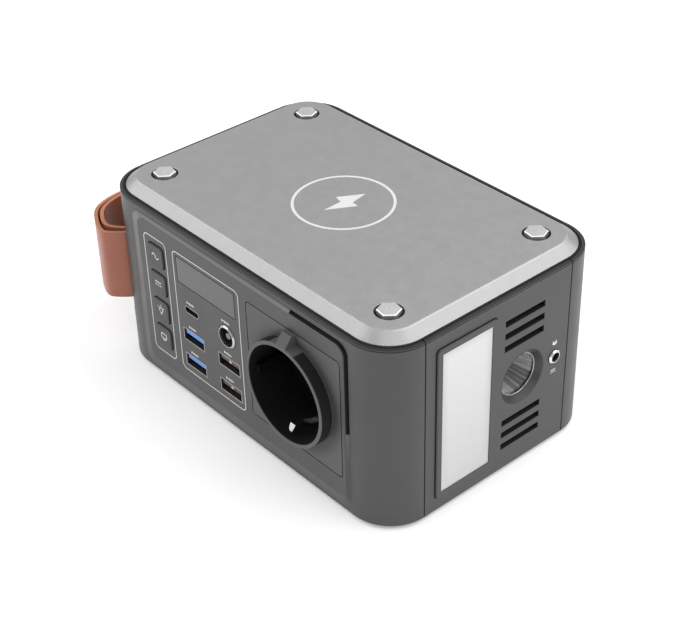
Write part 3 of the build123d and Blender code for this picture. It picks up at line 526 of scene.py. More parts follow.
@dataclass(frozen=True)
class Fluted(Finish):
    """Bright metal with shallow flutes that run out from the torch's axis, and painted streaks of dark and
    bright reflection in its colour.
    """

    flutes: float = 14.0
    streaks: float = 3.0
    streak_turn: float = 1.2
    flute_share: float = 0.6
    # Where and how softly the painted dark reflections begin, and their colour.
    reflection_edge: float = -0.5
    reflection_soft: float = 0.9
    reflection_dark: Color = (0.42, 0.42, 0.42)

    def dress(self, graph: NodeGraph) -> None:
        """Adds the painted reflection streaks over the plain finish.

        Args:
            graph: The material's nodes.
        """
        super().dress(graph)
        turn = self.turn(graph)
        broad = graph.math("SINE", graph.math("MULTIPLY_ADD", turn, self.streaks, self.streak_turn))
        fine = graph.math("MULTIPLY", self.ripple(graph, turn), self.flute_share)
        # Painted reflection: the colour swings between dark and bright streaks about the torch's axis.
        painted_reflection = graph.step(graph.math("ADD", broad, fine), self.reflection_edge, self.reflection_soft)
        graph.join(graph.blend(painted_reflection, self.reflection_dark, self.color), graph.shader.inputs["Base Color"])

    def turn(self, graph: NodeGraph) -> Socket:
        """Gives the angle about the torch's axis.

        Args:
            graph: The material's nodes.

        Returns:
            The angle, in radians.
        """
        place = graph.parts()
        across = graph.math("SUBTRACT", place["Y"], TORCH_AXIS[0] * MM)
        upward = graph.math("SUBTRACT", place["Z"], TORCH_AXIS[1] * MM)
        return graph.math("ARCTAN2", upward, across)

    def texture(self, graph: NodeGraph, grain: Socket) -> Socket:
        """Gives the flutes in place of the grain."""
        return self.ripple(graph, self.turn(graph))

    def ripple(self, graph: NodeGraph, turn: Socket) -> Socket:
        """Gives the flutes' height at an angle about the torch's axis."""
        return graph.math("SINE", graph.math("MULTIPLY", turn, self.flutes))


@dataclass(frozen=True)
class Opal(Finish):
    """Milky diffuser that lets light spread inside it, with painted shading: paler towards its top and
    darker towards its foot and rim, standing in for how light falls on it.
    """

    low: float = 10.0
    high: float = 68.0
    # Painted shade: the colour at the diffuser's foot and rim.
    painted_shade_color: Color = (0.60, 0.60, 0.60)
    spread: float = 0.3
    spread_scale: float = 0.002

    def dress(self, graph: NodeGraph) -> None:
        """Adds the painted shading from foot to top and at the rim, and the spread of light.

        Args:
            graph: The material's nodes.
        """
        super().dress(graph)
        rise = graph.step(graph.parts()["Z"], self.low * MM, (self.high - self.low) * MM)
        # Painted shade towards the foot and at the rim, paler towards the top.
        painted_light_share = graph.math("SUBTRACT", rise, LAMP_RIM_SHADE.cover(graph))
        graph.join(graph.blend(painted_light_share, self.painted_shade_color, self.color), graph.shader.inputs["Base Color"])
        graph.shader.inputs["Subsurface Weight"].default_value = self.spread
        graph.shader.inputs["Subsurface Scale"].default_value = self.spread_scale


@dataclass(frozen=True)
class Floor(Finish):
    """Studio floor lit from below, so that shadows on it stay faint."""

    glow: float = 0.26

    def dress(self, graph: NodeGraph) -> None:
        """Adds the light from below.

        Args:
            graph: The material's nodes.
        """
        super().dress(graph)
        graph.shader.inputs["Emission Color"].default_value = WHITE
        graph.shader.inputs["Emission Strength"].default_value = self.glow


# ---------------------------------------------------------------- regions of painted shade and painted light in the finishes
# Painted shade: under the shell's and the trim's outer skin their colour is darkened, standing in for the
# shade in seams, holes and the trim's gap by the cover.
INSIDE_SHELL = under_skin(0.45)
INSIDE_TRIM = under_skin(1.4, 0.3)

# Painted shade in the groove beside the socket, in the socket plate's seat and round the display window.
SOCKET_GROOVE = Panel(FRONT_AXES, (33, 38), (59, 75.4), 5.0, limits=(
    Beyond("Y", -54.5, soft=0.15), Beyond("X", 33.0, soft=0.1), Beyond("Z", 38.0, soft=0.1),
))
SOCKET_SEAT = Panel(FRONT_AXES, SOCKET_CENTRE, (51.1, 51.1), 1.8, soft=0.05, limits=(Beyond("Y", -55.0),))
DISPLAY_SEAT = Panel(FRONT_AXES, (-15.7, 61.5), (35.5, 11.6), 0.1, soft=0.05)
# Painted highlight: a lighter tone along the front panel's raised rim, where light catches the bevel.
FRONT_RIM_HIGHLIGHT = Panel(FRONT_AXES, (2.1, 34.5), (118.4, 79.4), 3.8, outside=True, soft=0.4, limits=(
    Beyond("Z", 25.0, soft=30.0), Beyond("Y", -53.65, -1.0, 0.1),
))

# Painted shade in the lamp's seat.
LAMP_SEAT = Panel(END_AXES, (-16.4, 39.9), (29.3, 65.9), 1.8, soft=0.2)
# Painted shade at the lamp diffuser's rim.
LAMP_RIM_SHADE = Panel(END_AXES, LAMP_CENTRE, (17.0, 52.0), 0.5, outside=True, soft=5.0, amount=1.1)
# Painted shade in the end panel's slots.
END_SLOTS = Panel(END_AXES, (12.5, 39.6), (20.5, 60.0), 0.1, limits=(Beyond("X", 81.4, -1.0, 0.1),))

# Painted shade: a darker tone on the cover's chamfer, where the lights catch it too brightly. The screw
# wells below it carry painted shade.
COVER_CHAMFER_SHADE = Beyond("Z", 82.15, -1.0, 0.3)
SCREW_WELL = Beyond("Z", 81.9, -1.0, 0.2)

# Painted shade deep in the socket and along the socket plate's seam.
SOCKET_BOWL = round_hole(FRONT_AXES, SOCKET_CENTRE, 19.6, Beyond("Y", -59.5))
SOCKET_SEAM = Panel(FRONT_AXES, SOCKET_CENTRE, (50.3, 50.3), 1.4, outside=True, soft=0.05)
# Painted shade on the socket ring's outer side, which faces away from the light.
SOCKET_RING_SIDE_SHADE = Panel(
    FRONT_AXES, SOCKET_CENTRE, (41.8, 41.8), 20.8, outside=True, soft=0.05, amount=0.92,
    limits=(Beyond("Y", -54.95, -1.0, 0.1), Beyond("Z", 62.5, -1.0, 0.1)),
)
# Painted shadow: a soft darker patch on the socket plate round the ring.
SOCKET_RING_SHADOW = Panel(
    FRONT_AXES, (35.4, 41.9), (44.0, 44.0), 21.9, soft=3.5, amount=0.4,
    limits=(Beyond("Y", -54.85, soft=0.1),),
)

# Painted shade past these depths in the keys' sides, the ports, the tongues, the contacts, the pins, the
# earth clips and the jacks' bores.
KEY_SIDES = Beyond("Y", -54.6)
PORT_INSIDE = Beyond("Y", -54.68, soft=0.3)
TONGUE_ROOT = Beyond("Y", -51.5, soft=2.0)
CONTACT_ROOT = Beyond("Y", -49.5, soft=2.0)
PIN_ROOT = Beyond("Y", -52.5, soft=2.0)
CLIP_ROOT = Beyond("Y", -51.0, soft=7.0)
OUTPUT_BORE = round_hole(FRONT_AXES, DC_OUTPUT, 4.1, Beyond("Y", -54.9))
INPUT_BORE = round_hole(END_AXES, CHARGE_INPUT, 2.1, Beyond("X", 82.1, -1.0))

SHELL_GREY: Color = (0.053, 0.0535, 0.054)
SHELL_GRAIN: dict[str, float] = {"depth": 0.000012, "mottle": 0.05}


class Finishes(Enum):
    """Every finish on the station."""

    # Each finish's shaded regions carry painted shade: darker colour standing in for the shade in holes,
    # gaps and recesses.
    SHELL = Finish("shell_plastic", SHELL_GREY, 0.42, **SHELL_GRAIN, edge=0.35, shaded=(INSIDE_SHELL,))
    BASE = Finish("base_plastic", SHELL_GREY, 0.42, **SHELL_GRAIN, edge=0.35)
    # Painted shade in its holes and gaps, and a painted highlight on its rim.
    FRONT = Finish(
        "front_plastic", SHELL_GREY, 0.42, **SHELL_GRAIN, edge=0.35,
        shaded=(INSIDE_SHELL, SOCKET_GROOVE, SOCKET_SEAT, DISPLAY_SEAT),
        painted_light_and_dot_tone=(0.145, 0.145, 0.145), painted_light_and_dot_regions=(FRONT_RIM_HIGHLIGHT,),
    )
    END = Finish(
        "end_plastic", SHELL_GREY, 0.42, **SHELL_GRAIN, edge=0.35,
        shaded=(INSIDE_SHELL, LAMP_SEAT, END_SLOTS),
    )
    # Painted shade: the trim is darkened next to the cover and along its foot, standing in for the shade in
    # the gaps there.
    TRIM = Finish(
        "trim_plastic", (0.036, 0.036, 0.037), 0.40, edge=0.15,
        shaded=(INSIDE_TRIM, Beyond("Z", 78.0, -1.0, 0.05)),
    )
    # Painted darker tone on the chamfer, and painted shade in the screw wells.
    COVER = Finish(
        "silver_cover", (0.54, 0.54, 0.545), 0.40, metallic=0.85, grain=0.0006, depth=0.00008, mottle=0.05,
        mottle_size=0.004, gloss_spread=0.02, edge=0.3, painted_light_and_dot_tone=(0.385, 0.385, 0.39), painted_light_and_dot_regions=(COVER_CHAMFER_SHADE,),
        shaded=tuple(round_hole(TOP_AXES, place, 5.25, SCREW_WELL) for place in COVER_SCREWS),
    )
    SCREW = BrushedMetal("screw_steel", (0.86, 0.86, 0.86), 0.36, metallic=0.85, grain=0.0006, edge=0.1)
    DARK_SCREW = Finish("dark_screw", (0.18, 0.18, 0.19), 0.4, metallic=1.0)
    BUTTON = Finish(
        "button_plastic", (0.052, 0.053, 0.054), 0.5, grain=0.0004, edge=0.3, shaded=(KEY_SIDES,),
    )
    WINDOW = Finish("smoked_window", (0.072, 0.073, 0.075), 0.25, grain=0.002, depth=0.000002, coat=0.2)
    DISPLAY = Finish("display_glass", (0.02, 0.02, 0.022), 0.2)
    PORT_METAL = BrushedMetal(
        "port_metal", (0.44, 0.40, 0.38), 0.28, metallic=1.0, grain=0.0004, edge=0.1, shaded=(PORT_INSIDE,),
    )
    USB_BLUE = Finish("usb_blue", (0.06, 0.28, 0.80), 0.38, shaded=(TONGUE_ROOT,))
    USB_LIGHT = Finish(
        "usb_copper", (0.060, 0.034, 0.026), 0.35, shaded=(TONGUE_ROOT,), painted_light_and_dot_tone=(0.72, 0.46, 0.36),
        painted_light_and_dot_regions=tuple(Panel(FRONT_AXES, place, (1.3, 1.3), 0.4) for place in USB_LIGHT_PORTS),
    )
    PORT_BLACK = Finish("port_black", (0.012, 0.012, 0.012), 0.5)
    CONTACT = Finish("gold_contact", (0.90, 0.62, 0.30), 0.25, metallic=1.0, shaded=(CONTACT_ROOT,))
    JACK = BrushedMetal(
        "jack_ring", (0.54, 0.535, 0.53), 0.16, metallic=1.0, grain=0.0005, depth=0.000004,
        shaded=(OUTPUT_BORE,),
    )
    INPUT_JACK = BrushedMetal(
        "input_jack_ring", (0.82, 0.79, 0.76), 0.16, metallic=1.0, grain=0.0005, depth=0.000004,
        shaded=(INPUT_BORE,),
    )
    # Painted shade deep in the socket, along its seam and on the ring's side, and a painted shadow round the
    # ring.
    SOCKET = Finish(
        "socket_plastic", (0.096, 0.097, 0.098), 0.45, specular=0.25, edge=0.25, shade=(0.003, 0.003, 0.003),
        shaded=(SOCKET_BOWL, SOCKET_SEAM, SOCKET_RING_SIDE_SHADE, SOCKET_RING_SHADOW),
    )
    INSERT = Finish("socket_insert", (0.004, 0.004, 0.004), 0.5, specular=0.12)
    JACK_PIN = BrushedMetal("jack_pin", (0.22, 0.21, 0.20), 0.25, metallic=1.0, shaded=(PIN_ROOT,))
    EARTH = BrushedMetal("earth_clip", (0.80, 0.79, 0.77), 0.24, metallic=1.0, shaded=(CLIP_ROOT,))
    # Painted shade on the lamp frame's sides.
    LAMP_FRAME = Finish(
        "lamp_frame", SHELL_GREY, 0.42, **SHELL_GRAIN, edge=0.2, shaded=(Beyond("X", 81.75, -1.0, 0.1),),
    )
    OPAL = Opal("lamp_opal", (0.72, 0.72, 0.72), 0.5, grain=0.003, mottle=0.01, mottle_size=0.05)
    BEZEL = Finish("torch_bezel", (0.050, 0.050, 0.051), 0.38, edge=0.2)
    LENS = ClearLens("torch_lens", (0.03, 0.03, 0.03), 0.03, mottle=0.0, gloss_spread=0.01, depth=0.000001)
    MIRROR = Fluted("torch_reflector", (0.98, 0.98, 0.98), 0.14, metallic=0.4, depth=0.0008)
    LED = Finish("led_phosphor", (0.85, 0.78, 0.42), 0.4)
    BOARD = Finish("circuit_board", (0.02, 0.10, 0.05), 0.4)
    CHIP = Finish("chip_black", (0.015, 0.015, 0.016), 0.45)
    RUBBER = Finish("pad_rubber", (0.022, 0.022, 0.022), 0.75, depth=0.00003)
    LEATHER = Leather(
        "strap_leather", (0.34, 0.112, 0.070), 0.42, mottle=0.12, mottle_size=0.012, depth=0.00005,
    )
    LEATHER_EDGE = Finish(
        "strap_edge", (0.52, 0.20, 0.105), 0.5, mottle=0.16, mottle_size=0.004, depth=0.00004,
    )
    INK = Finish("white_print", (0.74, 0.74, 0.73), 0.5, grain=0.0003, depth=0.000004)
    CELL = Finish("cell_wrap", (0.06, 0.20, 0.42), 0.35)
    HOLDER = Finish("holder_plastic", (0.010, 0.010, 0.011), 0.55, specular=0.3)
    NICKEL = BrushedMetal("nickel_strip", (0.75, 0.73, 0.70), 0.3, metallic=1.0)
    FERRITE = Finish("ferrite", (0.03, 0.03, 0.032), 0.6)
    COPPER = BrushedMetal("copper_winding", (0.80, 0.36, 0.18), 0.3, metallic=1.0, lines=(1.0, 8.0, 8.0))
    ALUMINIUM = BrushedMetal("heat_sink", (0.72, 0.72, 0.73), 0.35, metallic=1.0)
    CAPACITOR = Finish("capacitor_sleeve", (0.03, 0.03, 0.06), 0.35)
    FLOOR = Floor("pale_floor", (0.92, 0.92, 0.92), 0.6, mottle=0.0)

    def material(self) -> bpy.types.Material:
        """Gives the finish's material, made on first use."""
        found = bpy.data.materials.get(FINISH_PREFIX + self.value.name)
        return found if found is not None else self.value.make()


NODE_FINISHES: dict[Finishes, tuple[str, ...]] = {
    Finishes.SHELL: ("rear_shell", "left_end_panel"),
    Finishes.BASE: ("base_plate",),
    Finishes.FRONT: ("front_shell",),
    Finishes.END: ("right_end_panel",),
    Finishes.TRIM: ("top_trim",),
    Finishes.COVER: ("top_cover",),
    Finishes.SCREW: ("cover_screws",),
    Finishes.DARK_SCREW: ("base_screws", "strap_pins"),
    Finishes.BUTTON: ("button_ac", "button_dc", "button_lamp", "button_display"),
    Finishes.WINDOW: ("display_window",),
    Finishes.DISPLAY: ("display_module",),
    Finishes.PORT_METAL: ("usb_a_shells", "usb_c_shell"),
    Finishes.USB_BLUE: ("usb_a_blue_tongues",),
    Finishes.USB_LIGHT: ("usb_a_light_tongues",),
    Finishes.PORT_BLACK: ("usb_c_tongue",),
    Finishes.CONTACT: ("usb_a_contacts", "socket_contacts"),
    Finishes.JACK_PIN: ("dc_output_pin",),
    Finishes.JACK: ("dc_output_jack",),
    Finishes.INPUT_JACK: ("charge_jack",),
    Finishes.SOCKET: ("socket_housing",),
    Finishes.INSERT: ("socket_insert",),
    Finishes.EARTH: ("earth_clips",),
    Finishes.LAMP_FRAME: ("lamp_frame",),
    Finishes.OPAL: ("lamp_diffuser",),
    Finishes.BEZEL: ("torch_bezel",),
    Finishes.LENS: ("torch_lens",),
    Finishes.MIRROR: ("torch_reflector",),
    Finishes.LED: ("torch_led_board", "lamp_leds"),
    Finishes.BOARD: ("button_board", "usb_board", "lamp_board", "battery_board", "inverter_board"),
    Finishes.CHIP: ("button_switches",),
    Finishes.RUBBER: ("rubber_base_pad",),
    Finishes.CELL: ("battery_cells",),
    Finishes.HOLDER: (
        "button_guide", "cell_holder_front", "cell_holder_rear", "fan_frame", "fan_rotor", "strap_pockets",
    ),
    Finishes.NICKEL: ("nickel_strips",),
    Finishes.FERRITE: ("ferrite_sheet", "transformer_core"),
    Finishes.COPPER: ("wireless_coil", "transformer_winding"),
    Finishes.ALUMINIUM: ("heat_sinks",),
    Finishes.CAPACITOR: ("capacitors",),
}


def dress_nodes(nodes: dict[str, bpy.types.Object]) -> None:
    """Gives every CAD node its finish.

    Args:
        nodes: The frame's nodes by name.
    """
    for finish, names in NODE_FINISHES.items():
        for name in names:
            node = nodes[name]
            node.data.materials.clear()
            node.data.materials.append(finish.material())


# ---------------------------------------------------------------- pieces
def make_piece(
    name: str,
    mesh: bmesh.types.BMesh,
    finishes: tuple[Finishes, ...],
    body: str = STATION,
    sharp: float = 35.0,
) -> bpy.types.Object:
    """Turns a bmesh in metres into a piece that rides on a body.

    Args:
        name: The piece's name.
        mesh: Its shape, freed here.
        finishes: Its finishes, in material order.
        body: The body it moves with.
        sharp: Edges steeper than this, in degrees, stay crisp.

    Returns:
        The new object.
    """
    bmesh.ops.recalc_face_normals(mesh, faces=mesh.faces)
    data = bpy.data.meshes.new(name)
    mesh.to_mesh(data)
    mesh.free()
    data.shade_smooth()
    data.set_sharp_from_angle(angle=math.radians(sharp))
    piece = bpy.data.objects.new(name, data)
    bpy.context.scene.collection.objects.link(piece)
    for finish in finishes:
        data.materials.append(finish.material())
    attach(piece, body)
    return piece


class Side(Enum):
    """Faces of the body that carry printed marks."""

    FRONT = "front"
    END = "end"
    TOP = "top"

    def matrix(self, level: float) -> Matrix:
        """Gives the placing of a flat drawing in millimetres on this side.

        Args:
            level: The face's distance from the origin, in millimetres.

        Returns:
            The matrix from the drawing to the frame, in metres.
        """
        columns = {
            Side.FRONT: ((1, 0, 0), (0, 0, 1), (0, -1, 0)),
            Side.END: ((0, 1, 0), (0, 0, 1), (1, 0, 0)),
            Side.TOP: ((1, 0, 0), (0, 1, 0), (0, 0, 1)),
        }[self]
        turn = Matrix(columns).transposed().to_4x4()
        return Matrix.Scale(MM, 4) @ turn @ Matrix.Translation((0, 0, level))


@dataclass
class Print:
    """A flat drawing in millimetres, printed as a thin film of ink."""

    line: float = 0.34
    film: float = 0.03
    sink: float = 0.01
    steps: int = 10
    mesh: bmesh.types.BMesh = field(default_factory=bmesh.new)

    def bar(self, start: Point, end: Point, width: float | None = None) -> None:
        """Draws a straight stroke.

        Args:
            start: One end.
            end: The other end.
            width: Its width, or the drawing's line.
        """
        run = Vector(end) - Vector(start)
        middle = (Vector(start) + Vector(end)) / 2
        size = Matrix.Diagonal((run.length / 2, (width or self.line) / 2, 1, 1))
        turn = Matrix.Rotation(math.atan2(run.y, run.x), 4, "Z")
        place = Matrix.Translation((middle.x, middle.y, 0)) @ turn @ size
        bmesh.ops.create_grid(self.mesh, x_segments=1, y_segments=1, size=1, matrix=place)

    def arc(
        self, centre: Point, radius: float, start: float, sweep: float, width: float | None = None,
    ) -> None:
        """Draws an arc stroke.

        Args:
            centre: The arc's centre.
            radius: Its middle radius.
            start: Its first angle, in degrees.
            sweep: How far it runs, in degrees.
            width: Its width, or the drawing's line.
        """
        half = (width or self.line) / 2
        angle = math.radians(start)
        along = Vector((math.cos(angle), math.sin(angle), 0))
        middle = Vector((*centre, 0))
        ends = [self.mesh.verts.new(middle + along * (radius + side * half)) for side in (-1, 1)]
        edge = self.mesh.edges.new(ends)
        full = abs(sweep) >= FULL_TURN
        steps = self.steps * (QUARTERS if full else 1)
        bmesh.ops.spin(
            self.mesh, geom=[*ends, edge], cent=middle, axis=(0, 0, 1),
            angle=math.radians(sweep), steps=steps, use_merge=full,
        )

    def frame(self, centre: Point, size: Point, radius: float) -> None:
        """Draws an outlined rectangle with round corners.

        Args:
            centre: Its centre.
            size: Its outer width and height.
            radius: Its outer corner radius.
        """
        scale = Matrix.Diagonal((size[0] / 2, size[1] / 2, 1, 1))
        place = Matrix.Translation((*centre, 0)) @ scale
        made = bmesh.ops.create_grid(self.mesh, x_segments=1, y_segments=1, size=1, matrix=place)
        bmesh.ops.bevel(
            self.mesh, geom=made["verts"], offset=radius, segments=self.steps, profile=0.5,
            affect="VERTICES", material=-1,
        )
        face = max(self.mesh.faces, key=lambda f: (len(f.verts), f.index))
        bmesh.ops.inset_individual(self.mesh, faces=[face], thickness=self.line, use_even_offset=True)
        bmesh.ops.delete(self.mesh, geom=[face], context="FACES")

    def patch(self, corners: tuple[Point, ...]) -> None:
        """Draws a filled outline through a few corners."""
        self.mesh.faces.new([self.mesh.verts.new((*corner, 0)) for corner in corners])

    def shift(self, move: Point, scale: float = 1.0) -> None:
        """Scales and moves what has been drawn so far."""
        place = Matrix.Translation((*move, 0)) @ Matrix.Scale(scale, 4)
        bmesh.ops.transform(self.mesh, matrix=place, verts=self.mesh.verts)

    def lay(self, name: str, side: Side, level: float, body: str = STATION) -> bpy.types.Object:
        """Lays the drawing on a face as a closed film.

        Args:
            name: The piece's name.
            side: The face it is on.
            level: That face's distance from the origin, in millimetres.
            body: The body it moves with.

        Returns:
            The printed piece.
        """
        bmesh.ops.remove_doubles(self.mesh, verts=self.mesh.verts, dist=0.001)
        bmesh.ops.recalc_face_normals(self.mesh, faces=self.mesh.faces)
        for face in self.mesh.faces:
            if face.normal.z < 0:
                face.normal_flip()
        grown = bmesh.ops.extrude_face_region(self.mesh, geom=self.mesh.faces[:], use_keep_orig=True)
        top = [item for item in grown["geom"] if isinstance(item, bmesh.types.BMVert)]
        bmesh.ops.translate(self.mesh, verts=top, vec=(0, 0, self.film + self.sink))
        bmesh.ops.transform(self.mesh, matrix=side.matrix(level - self.sink), verts=self.mesh.verts)
        return make_piece(name, self.mesh, (Finishes.INK,), body)


@dataclass
class ChargingMark:
    """Circle with a bolt, printed on the cover."""

    level: float
    outer: float = 39.5
    line: float = 1.1
    bolt: tuple[Point, ...] = (
        (-0.7, -9.1), (-0.9, -0.7), (-4.7, 0.3), (1.2, 9.9), (2.5, 2.1), (5.8, 2.0),
    )

    def build(self) -> None:
        """Prints the circle and the bolt."""
        ring = Print(line=self.line)
        ring.arc((0, 0), (self.outer - self.line) / 2, 0, FULL_TURN)
        ring.lay("charging_circle", Side.TOP, self.level)
        bolt = Print()
        bolt.patch(self.bolt)
        bolt.lay("charging_bolt", Side.TOP, self.level)


@dataclass
class FrontPrints:
    """Outlines round the keys and the ports, and the small marks over the ports."""

    level: float
    keys: tuple[float, float, float, float] = (-53.7, -39.5, 15.0, 69.0)
    ports: tuple[float, float, float, float] = (-35.4, 4.5, 14.7, 69.1)
    radius: float = 2.4
    marks: tuple[Point, ...] = (
        (-26.0, 48.4), (-4.1, 51.6), (-26.0, 37.1), (-26.0, 25.1), (-4.1, 37.1), (-4.1, 25.1),
    )
    mark_height: float = 1.3
    mark_width: float = 0.5
    mark_pitch: float = 0.8
    mark_bars: tuple[float, ...] = (0.75, 0.4, 0.75, 0.55, 0.75, 0.4)

    def build(self) -> None:
        """Prints both outlines and the marks."""
        drawing = Print()
        for left, right, low, high in (self.keys, self.ports):
            centre = ((left + right) / 2, (low + high) / 2)
            drawing.frame(centre, (right - left, high - low), self.radius)
        drawing.lay("front_outlines", Side.FRONT, self.level)
        marks = Print()
        for x, z in self.marks:
            place = x - self.mark_pitch / 2 * len(self.mark_bars)
            for bar in self.mark_bars:
                reach = self.mark_height * bar / 2
                marks.bar((place, z - reach), (place, z + reach), self.mark_width)
                place += self.mark_pitch
        marks.lay("port_marks", Side.FRONT, self.level)


class KeySign(Enum):
    """Sign printed on each key, with the body it moves with."""

    WAVE = "button_ac"
    BARS = "button_dc"
    LAMP = "button_lamp"
    SCREEN = "button_display"


@dataclass
class Keys:
    """Signs on the four keys."""

    line: float = 0.34
    scale: float = 1.15

    def build(self) -> None:
        """Prints a sign on each key's face."""
        for sign in KeySign:
            low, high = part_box(sign.value)
            drawing = Print(line=self.line)
            self.draw(sign, drawing)
            drawing.shift(((low.x + high.x) / 2 / MM, (low.z + high.z) / 2 / MM), self.scale)
            drawing.lay(f"sign_{sign.name.lower()}", Side.FRONT, -low.y / MM, sign.value)

    def draw(self, sign: KeySign, pen: Print) -> None:
        """Draws one sign about the origin.

        Args:
            sign: Which sign.
            pen: The drawing.
        """
        if sign is KeySign.WAVE:
            pen.arc((-0.85, 0), 0.85, 180, -180)
            pen.arc((0.85, 0), 0.85, 180, 180)
        elif sign is KeySign.BARS:
            pen.bar((-1.7, 0.7), (1.7, 0.7))
            for x in (-1.25, 0.0, 1.25):
                pen.bar((x - 0.42, -0.5), (x + 0.42, -0.5))
        elif sign is KeySign.LAMP:
            bulb = Vector((0, 0.35))
            pen.arc(tuple(bulb), 0.95, -50, 280)
            pen.bar((-0.5, -0.75), (0.5, -0.75))
            pen.bar((-0.35, -1.35), (0.35, -1.35))
            for angle in (30, 90, 150):
                ray = Vector((math.cos(math.radians(angle)), math.sin(math.radians(angle))))
                pen.bar(tuple(bulb + ray * 1.45), tuple(bulb + ray * 2.0), 0.32)
        else:
            pen.frame((0, 0.3), (3.2, 2.2), 0.4)
            pen.bar((-0.8, -1.35), (0.8, -1.35))


@dataclass
class EndPrints:
    """Marks above and below the charging jack."""

    level: float
    line: float = 0.4
    plug_level: float = 46.3
    dash_level: float = 33.6
    half_width: float = 1.2
    prong: float = 0.7
    dash_pitch: float = 0.9
    half_dash: float = 0.28

    def build(self) -> None:
        """Prints a plug sign above and a dashed sign below."""
        drawing = Print(line=self.line)
        middle = CHARGE_INPUT[0]
        left, right = middle - self.half_width, middle + self.half_width
        top, foot = self.plug_level + 0.3, self.plug_level - 0.3
        for x in (middle - self.prong, middle + self.prong):
            drawing.bar((x, self.plug_level + 1.1), (x, top))
        tip = (middle, self.plug_level - 1.0)
        drawing.patch(((left, top), (right, top), (right, foot), tip, (left, foot)))
        drawing.bar((left, self.dash_level + 0.6), (right, self.dash_level + 0.6))
        dashes = self.dash_level - 0.4
        for x in (middle - self.dash_pitch, middle, middle + self.dash_pitch):
            drawing.bar((x - self.half_dash, dashes), (x + self.half_dash, dashes))
        drawing.lay("jack_marks", Side.END, self.level)


@dataclass
class Strap:
    """One closed leather band laid double, looped round a pin in each rounded corner."""

    low: float
    high: float
    ply: float = 1.5
    rows: int = 6
    edge_round: float = 0.4
    edge_angle: float = 50.0
    crisp_angle: float = 60.0
    outer: tuple[Point, ...] = (
        (-100.75, -12.0), (-100.75, -28.0), (-100.6, -39.5), (-96.8, -49.2), (-88.5, -54.2),
        (-80.6, -57.2), (-77.6, -55.2), (-74.2, -51.6), (-72.6, -48.6), (-72.9, -45.0),
    )
    inner: tuple[Point, ...] = (
        (-76.4, -48.7), (-80.2, -51.9), (-83.8, -53.2), (-89.4, -51.1), (-95.6, -46.6),
        (-98.9, -38.0), (-99.2, -28.0), (-99.2, -12.0),
    )

    def route(self) -> list[Point]:
        """Gives the whole band's middle line, front half then back half.

        Returns:
            Its points, in millimetres.
        """
        front = [*self.outer, *self.inner]
        back = [(x, -y) for x, y in reversed(front)]
        return [*front, *back]

    def line(self) -> bpy.types.Mesh:
        """Makes the middle line as a closed chain of edges at the strap's lower edge.

        Returns:
            A mesh of edges, in metres.
        """
        curve = bpy.data.curves.new("strap_line", "CURVE")
        curve.dimensions = "3D"
        curve.resolution_u = 6
        route = self.route()
        spline = curve.splines.new("NURBS")
        spline.points.add(len(route) - 1)
        for point, (x, y) in zip(spline.points, route):
            point.co = (x * MM, y * MM, self.low, 1.0)
        spline.use_cyclic_u = True
        spline.order_u = 3
        holder = bpy.data.objects.new("strap_line", curve)
        data = bpy.data.meshes.new_from_object(holder)
        bpy.data.objects.remove(holder)
        bpy.data.curves.remove(curve)
        return data

    def build(self) -> None:
        """Makes the band and gives it its thickness and soft edges."""
        data = self.line()
        mesh = bmesh.new()
        mesh.from_mesh(data)
        bpy.data.meshes.remove(data)
        edges = mesh.edges[:]
        rise = (self.high - self.low) / self.rows
        for _ in range(self.rows):
            grown = bmesh.ops.extrude_edge_only(mesh, edges=edges)["geom"]
            moved = [item for item in grown if isinstance(item, bmesh.types.BMVert)]
            bmesh.ops.translate(mesh, verts=moved, vec=(0, 0, rise))
            edges = [item for item in grown if isinstance(item, bmesh.types.BMEdge)]
        leather = (Finishes.LEATHER, Finishes.LEATHER_EDGE)
        piece = make_piece("strap_leather", mesh, leather, sharp=self.crisp_angle)
        wall = piece.modifiers.new("thickness", "SOLIDIFY")
        wall.thickness = self.ply * MM
        wall.offset = 0.0
        wall.use_even_offset = True
        wall.material_offset_rim = 1
        soft = piece.modifiers.new("soft_edges", "BEVEL")
        soft.width = self.edge_round * MM
        soft.segments = 3
        soft.limit_method = "ANGLE"
        soft.angle_limit = math.radians(self.edge_angle)
        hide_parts("strap")


@dataclass
class Torch:
    """Bright rings round the lens and the LED."""

    ring_section: float = 0.22
    collar_radius: float = 2.3
    sides: int = 12
    steps: int = 64

    def build(self) -> None:
        """Makes both rings about the lens's axis."""
        low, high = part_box("torch_lens")
        centre = (low + high) / 2
        radius = (high.z - low.z) / 2
        front = Vector((high.x, centre.y, centre.z))
        self.ring("torch_lens_ring", front, radius - self.ring_section * MM, self.ring_section * MM)
        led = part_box("torch_led_board")[1]
        place = Vector((led.x, centre.y, centre.z))
        self.ring("torch_led_collar", place, self.collar_radius * MM, 2 * self.ring_section * MM)

    def ring(self, name: str, centre: Vector, radius: float, section: float) -> None:
        """Spins a round section about the torch's axis.

        Args:
            name: The piece's name.
            centre: The ring's centre.
            radius: Its middle radius.
            section: The section's radius.
        """
        mesh = bmesh.new()
        place = Matrix.Translation(centre + Vector((0, 0, radius))) @ Matrix.Rotation(math.pi / 2, 4, "X")
        made = bmesh.ops.create_circle(mesh, segments=self.sides, radius=section, matrix=place)
        geom = [*made["verts"], *mesh.edges]
        bmesh.ops.spin(
            mesh, geom=geom, cent=centre, axis=(1, 0, 0), angle=math.tau, steps=self.steps, use_merge=True,
        )
        make_piece(name, mesh, (Finishes.JACK,))


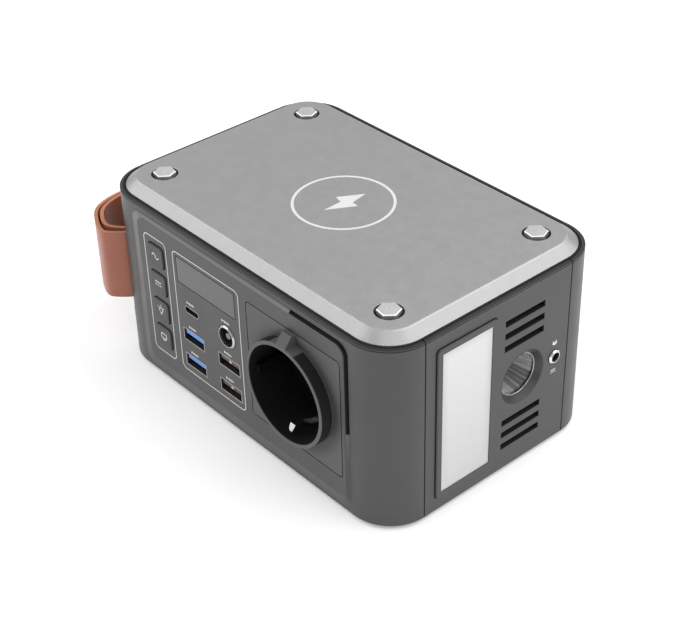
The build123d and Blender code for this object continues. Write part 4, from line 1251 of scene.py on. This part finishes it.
# ---------------------------------------------------------------- studio
@dataclass
class Studio:
    """Floor, lights and camera."""

    camera_place: Place = (0.37383, -0.31898, 0.37391)
    camera_aim: Place = (0.00918, -0.01118, 0.041)
    camera_roll: float = 1.731
    lens: float = 81.17
    floor_size: float = 24.0
    lights: tuple[tuple[str, Place, float, float], ...] = (
        ("key", (0.66, 0.85, 1.19), 2.0, 19.5),
        ("fill", (-1.1, -0.75, 0.95), 1.6, 11.0),
        ("near", (0.52, -0.65, 1.22), 0.8, 3.3),
    )
    sky: float = 0.5

    def build(self) -> None:
        """Makes the floor, the lights and the camera."""
        mesh = bmesh.new()
        bmesh.ops.create_grid(mesh, x_segments=1, y_segments=1, size=self.floor_size / 2)
        data = bpy.data.meshes.new("floor")
        mesh.to_mesh(data)
        mesh.free()
        floor = bpy.data.objects.new("floor", data)
        bpy.context.scene.collection.objects.link(floor)
        data.materials.append(Finishes.FLOOR.material())
        for name, place, size, power in self.lights:
            self.light(name, Vector(place), size, power)
        world = bpy.data.worlds.new("studio")
        world.use_nodes = True
        world.node_tree.nodes["Background"].inputs["Color"].default_value = WHITE
        world.node_tree.nodes["Background"].inputs["Strength"].default_value = self.sky
        bpy.context.scene.world = world
        bpy.context.scene.view_settings.view_transform = "Standard"
        self.camera()

    def light(self, name: str, place: Vector, size: float, power: float) -> None:
        """Adds a soft square light aimed at the station.

        Args:
            name: The light's name.
            place: Its place, in metres.
            size: Its side, in metres.
            power: Its power, in watts.
        """
        data = bpy.data.lights.new(name, "AREA")
        data.size = size
        data.energy = power
        lamp = bpy.data.objects.new(name, data)
        lamp.location = place
        lamp.rotation_euler = (-place).to_track_quat("-Z", "Y").to_euler()
        bpy.context.scene.collection.objects.link(lamp)

    def camera(self) -> None:
        """Adds the camera."""
        data = bpy.data.cameras.new("camera")
        data.sensor_fit = "HORIZONTAL"
        data.sensor_width = 36.0
        data.lens = self.lens
        data.clip_start = 0.01
        camera = bpy.data.objects.new("camera", data)
        place = Vector(self.camera_place)
        aim = Vector(self.camera_aim) - place
        turn = aim.to_track_quat("-Z", "Y").to_matrix().to_4x4()
        roll = Matrix.Rotation(math.radians(-self.camera_roll), 4, "Z")
        camera.matrix_world = Matrix.Translation(place) @ turn @ roll
        bpy.context.scene.collection.objects.link(camera)
        bpy.context.scene.camera = camera


def main() -> None:
    """Builds the studio and every piece, in order."""
    logging.basicConfig(level=logging.INFO, format="%(name)s: %(message)s")
    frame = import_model()
    dress_nodes(frame["nodes"])
    panel = -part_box("display_window")[0].y / MM
    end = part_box("right_end_panel")[1].x / MM
    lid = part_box("top_cover")[1].z / MM
    strap_low, strap_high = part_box("strap")
    parts = (
        Studio(),
        ChargingMark(level=lid),
        FrontPrints(level=panel),
        Keys(),
        EndPrints(level=end),
        Torch(),
        Strap(low=strap_low.z, high=strap_high.z),
    )
    for part in parts:
        part.build()
        LOG.info("built %s", type(part).__name__)


if __name__ == "__main__":
    main()
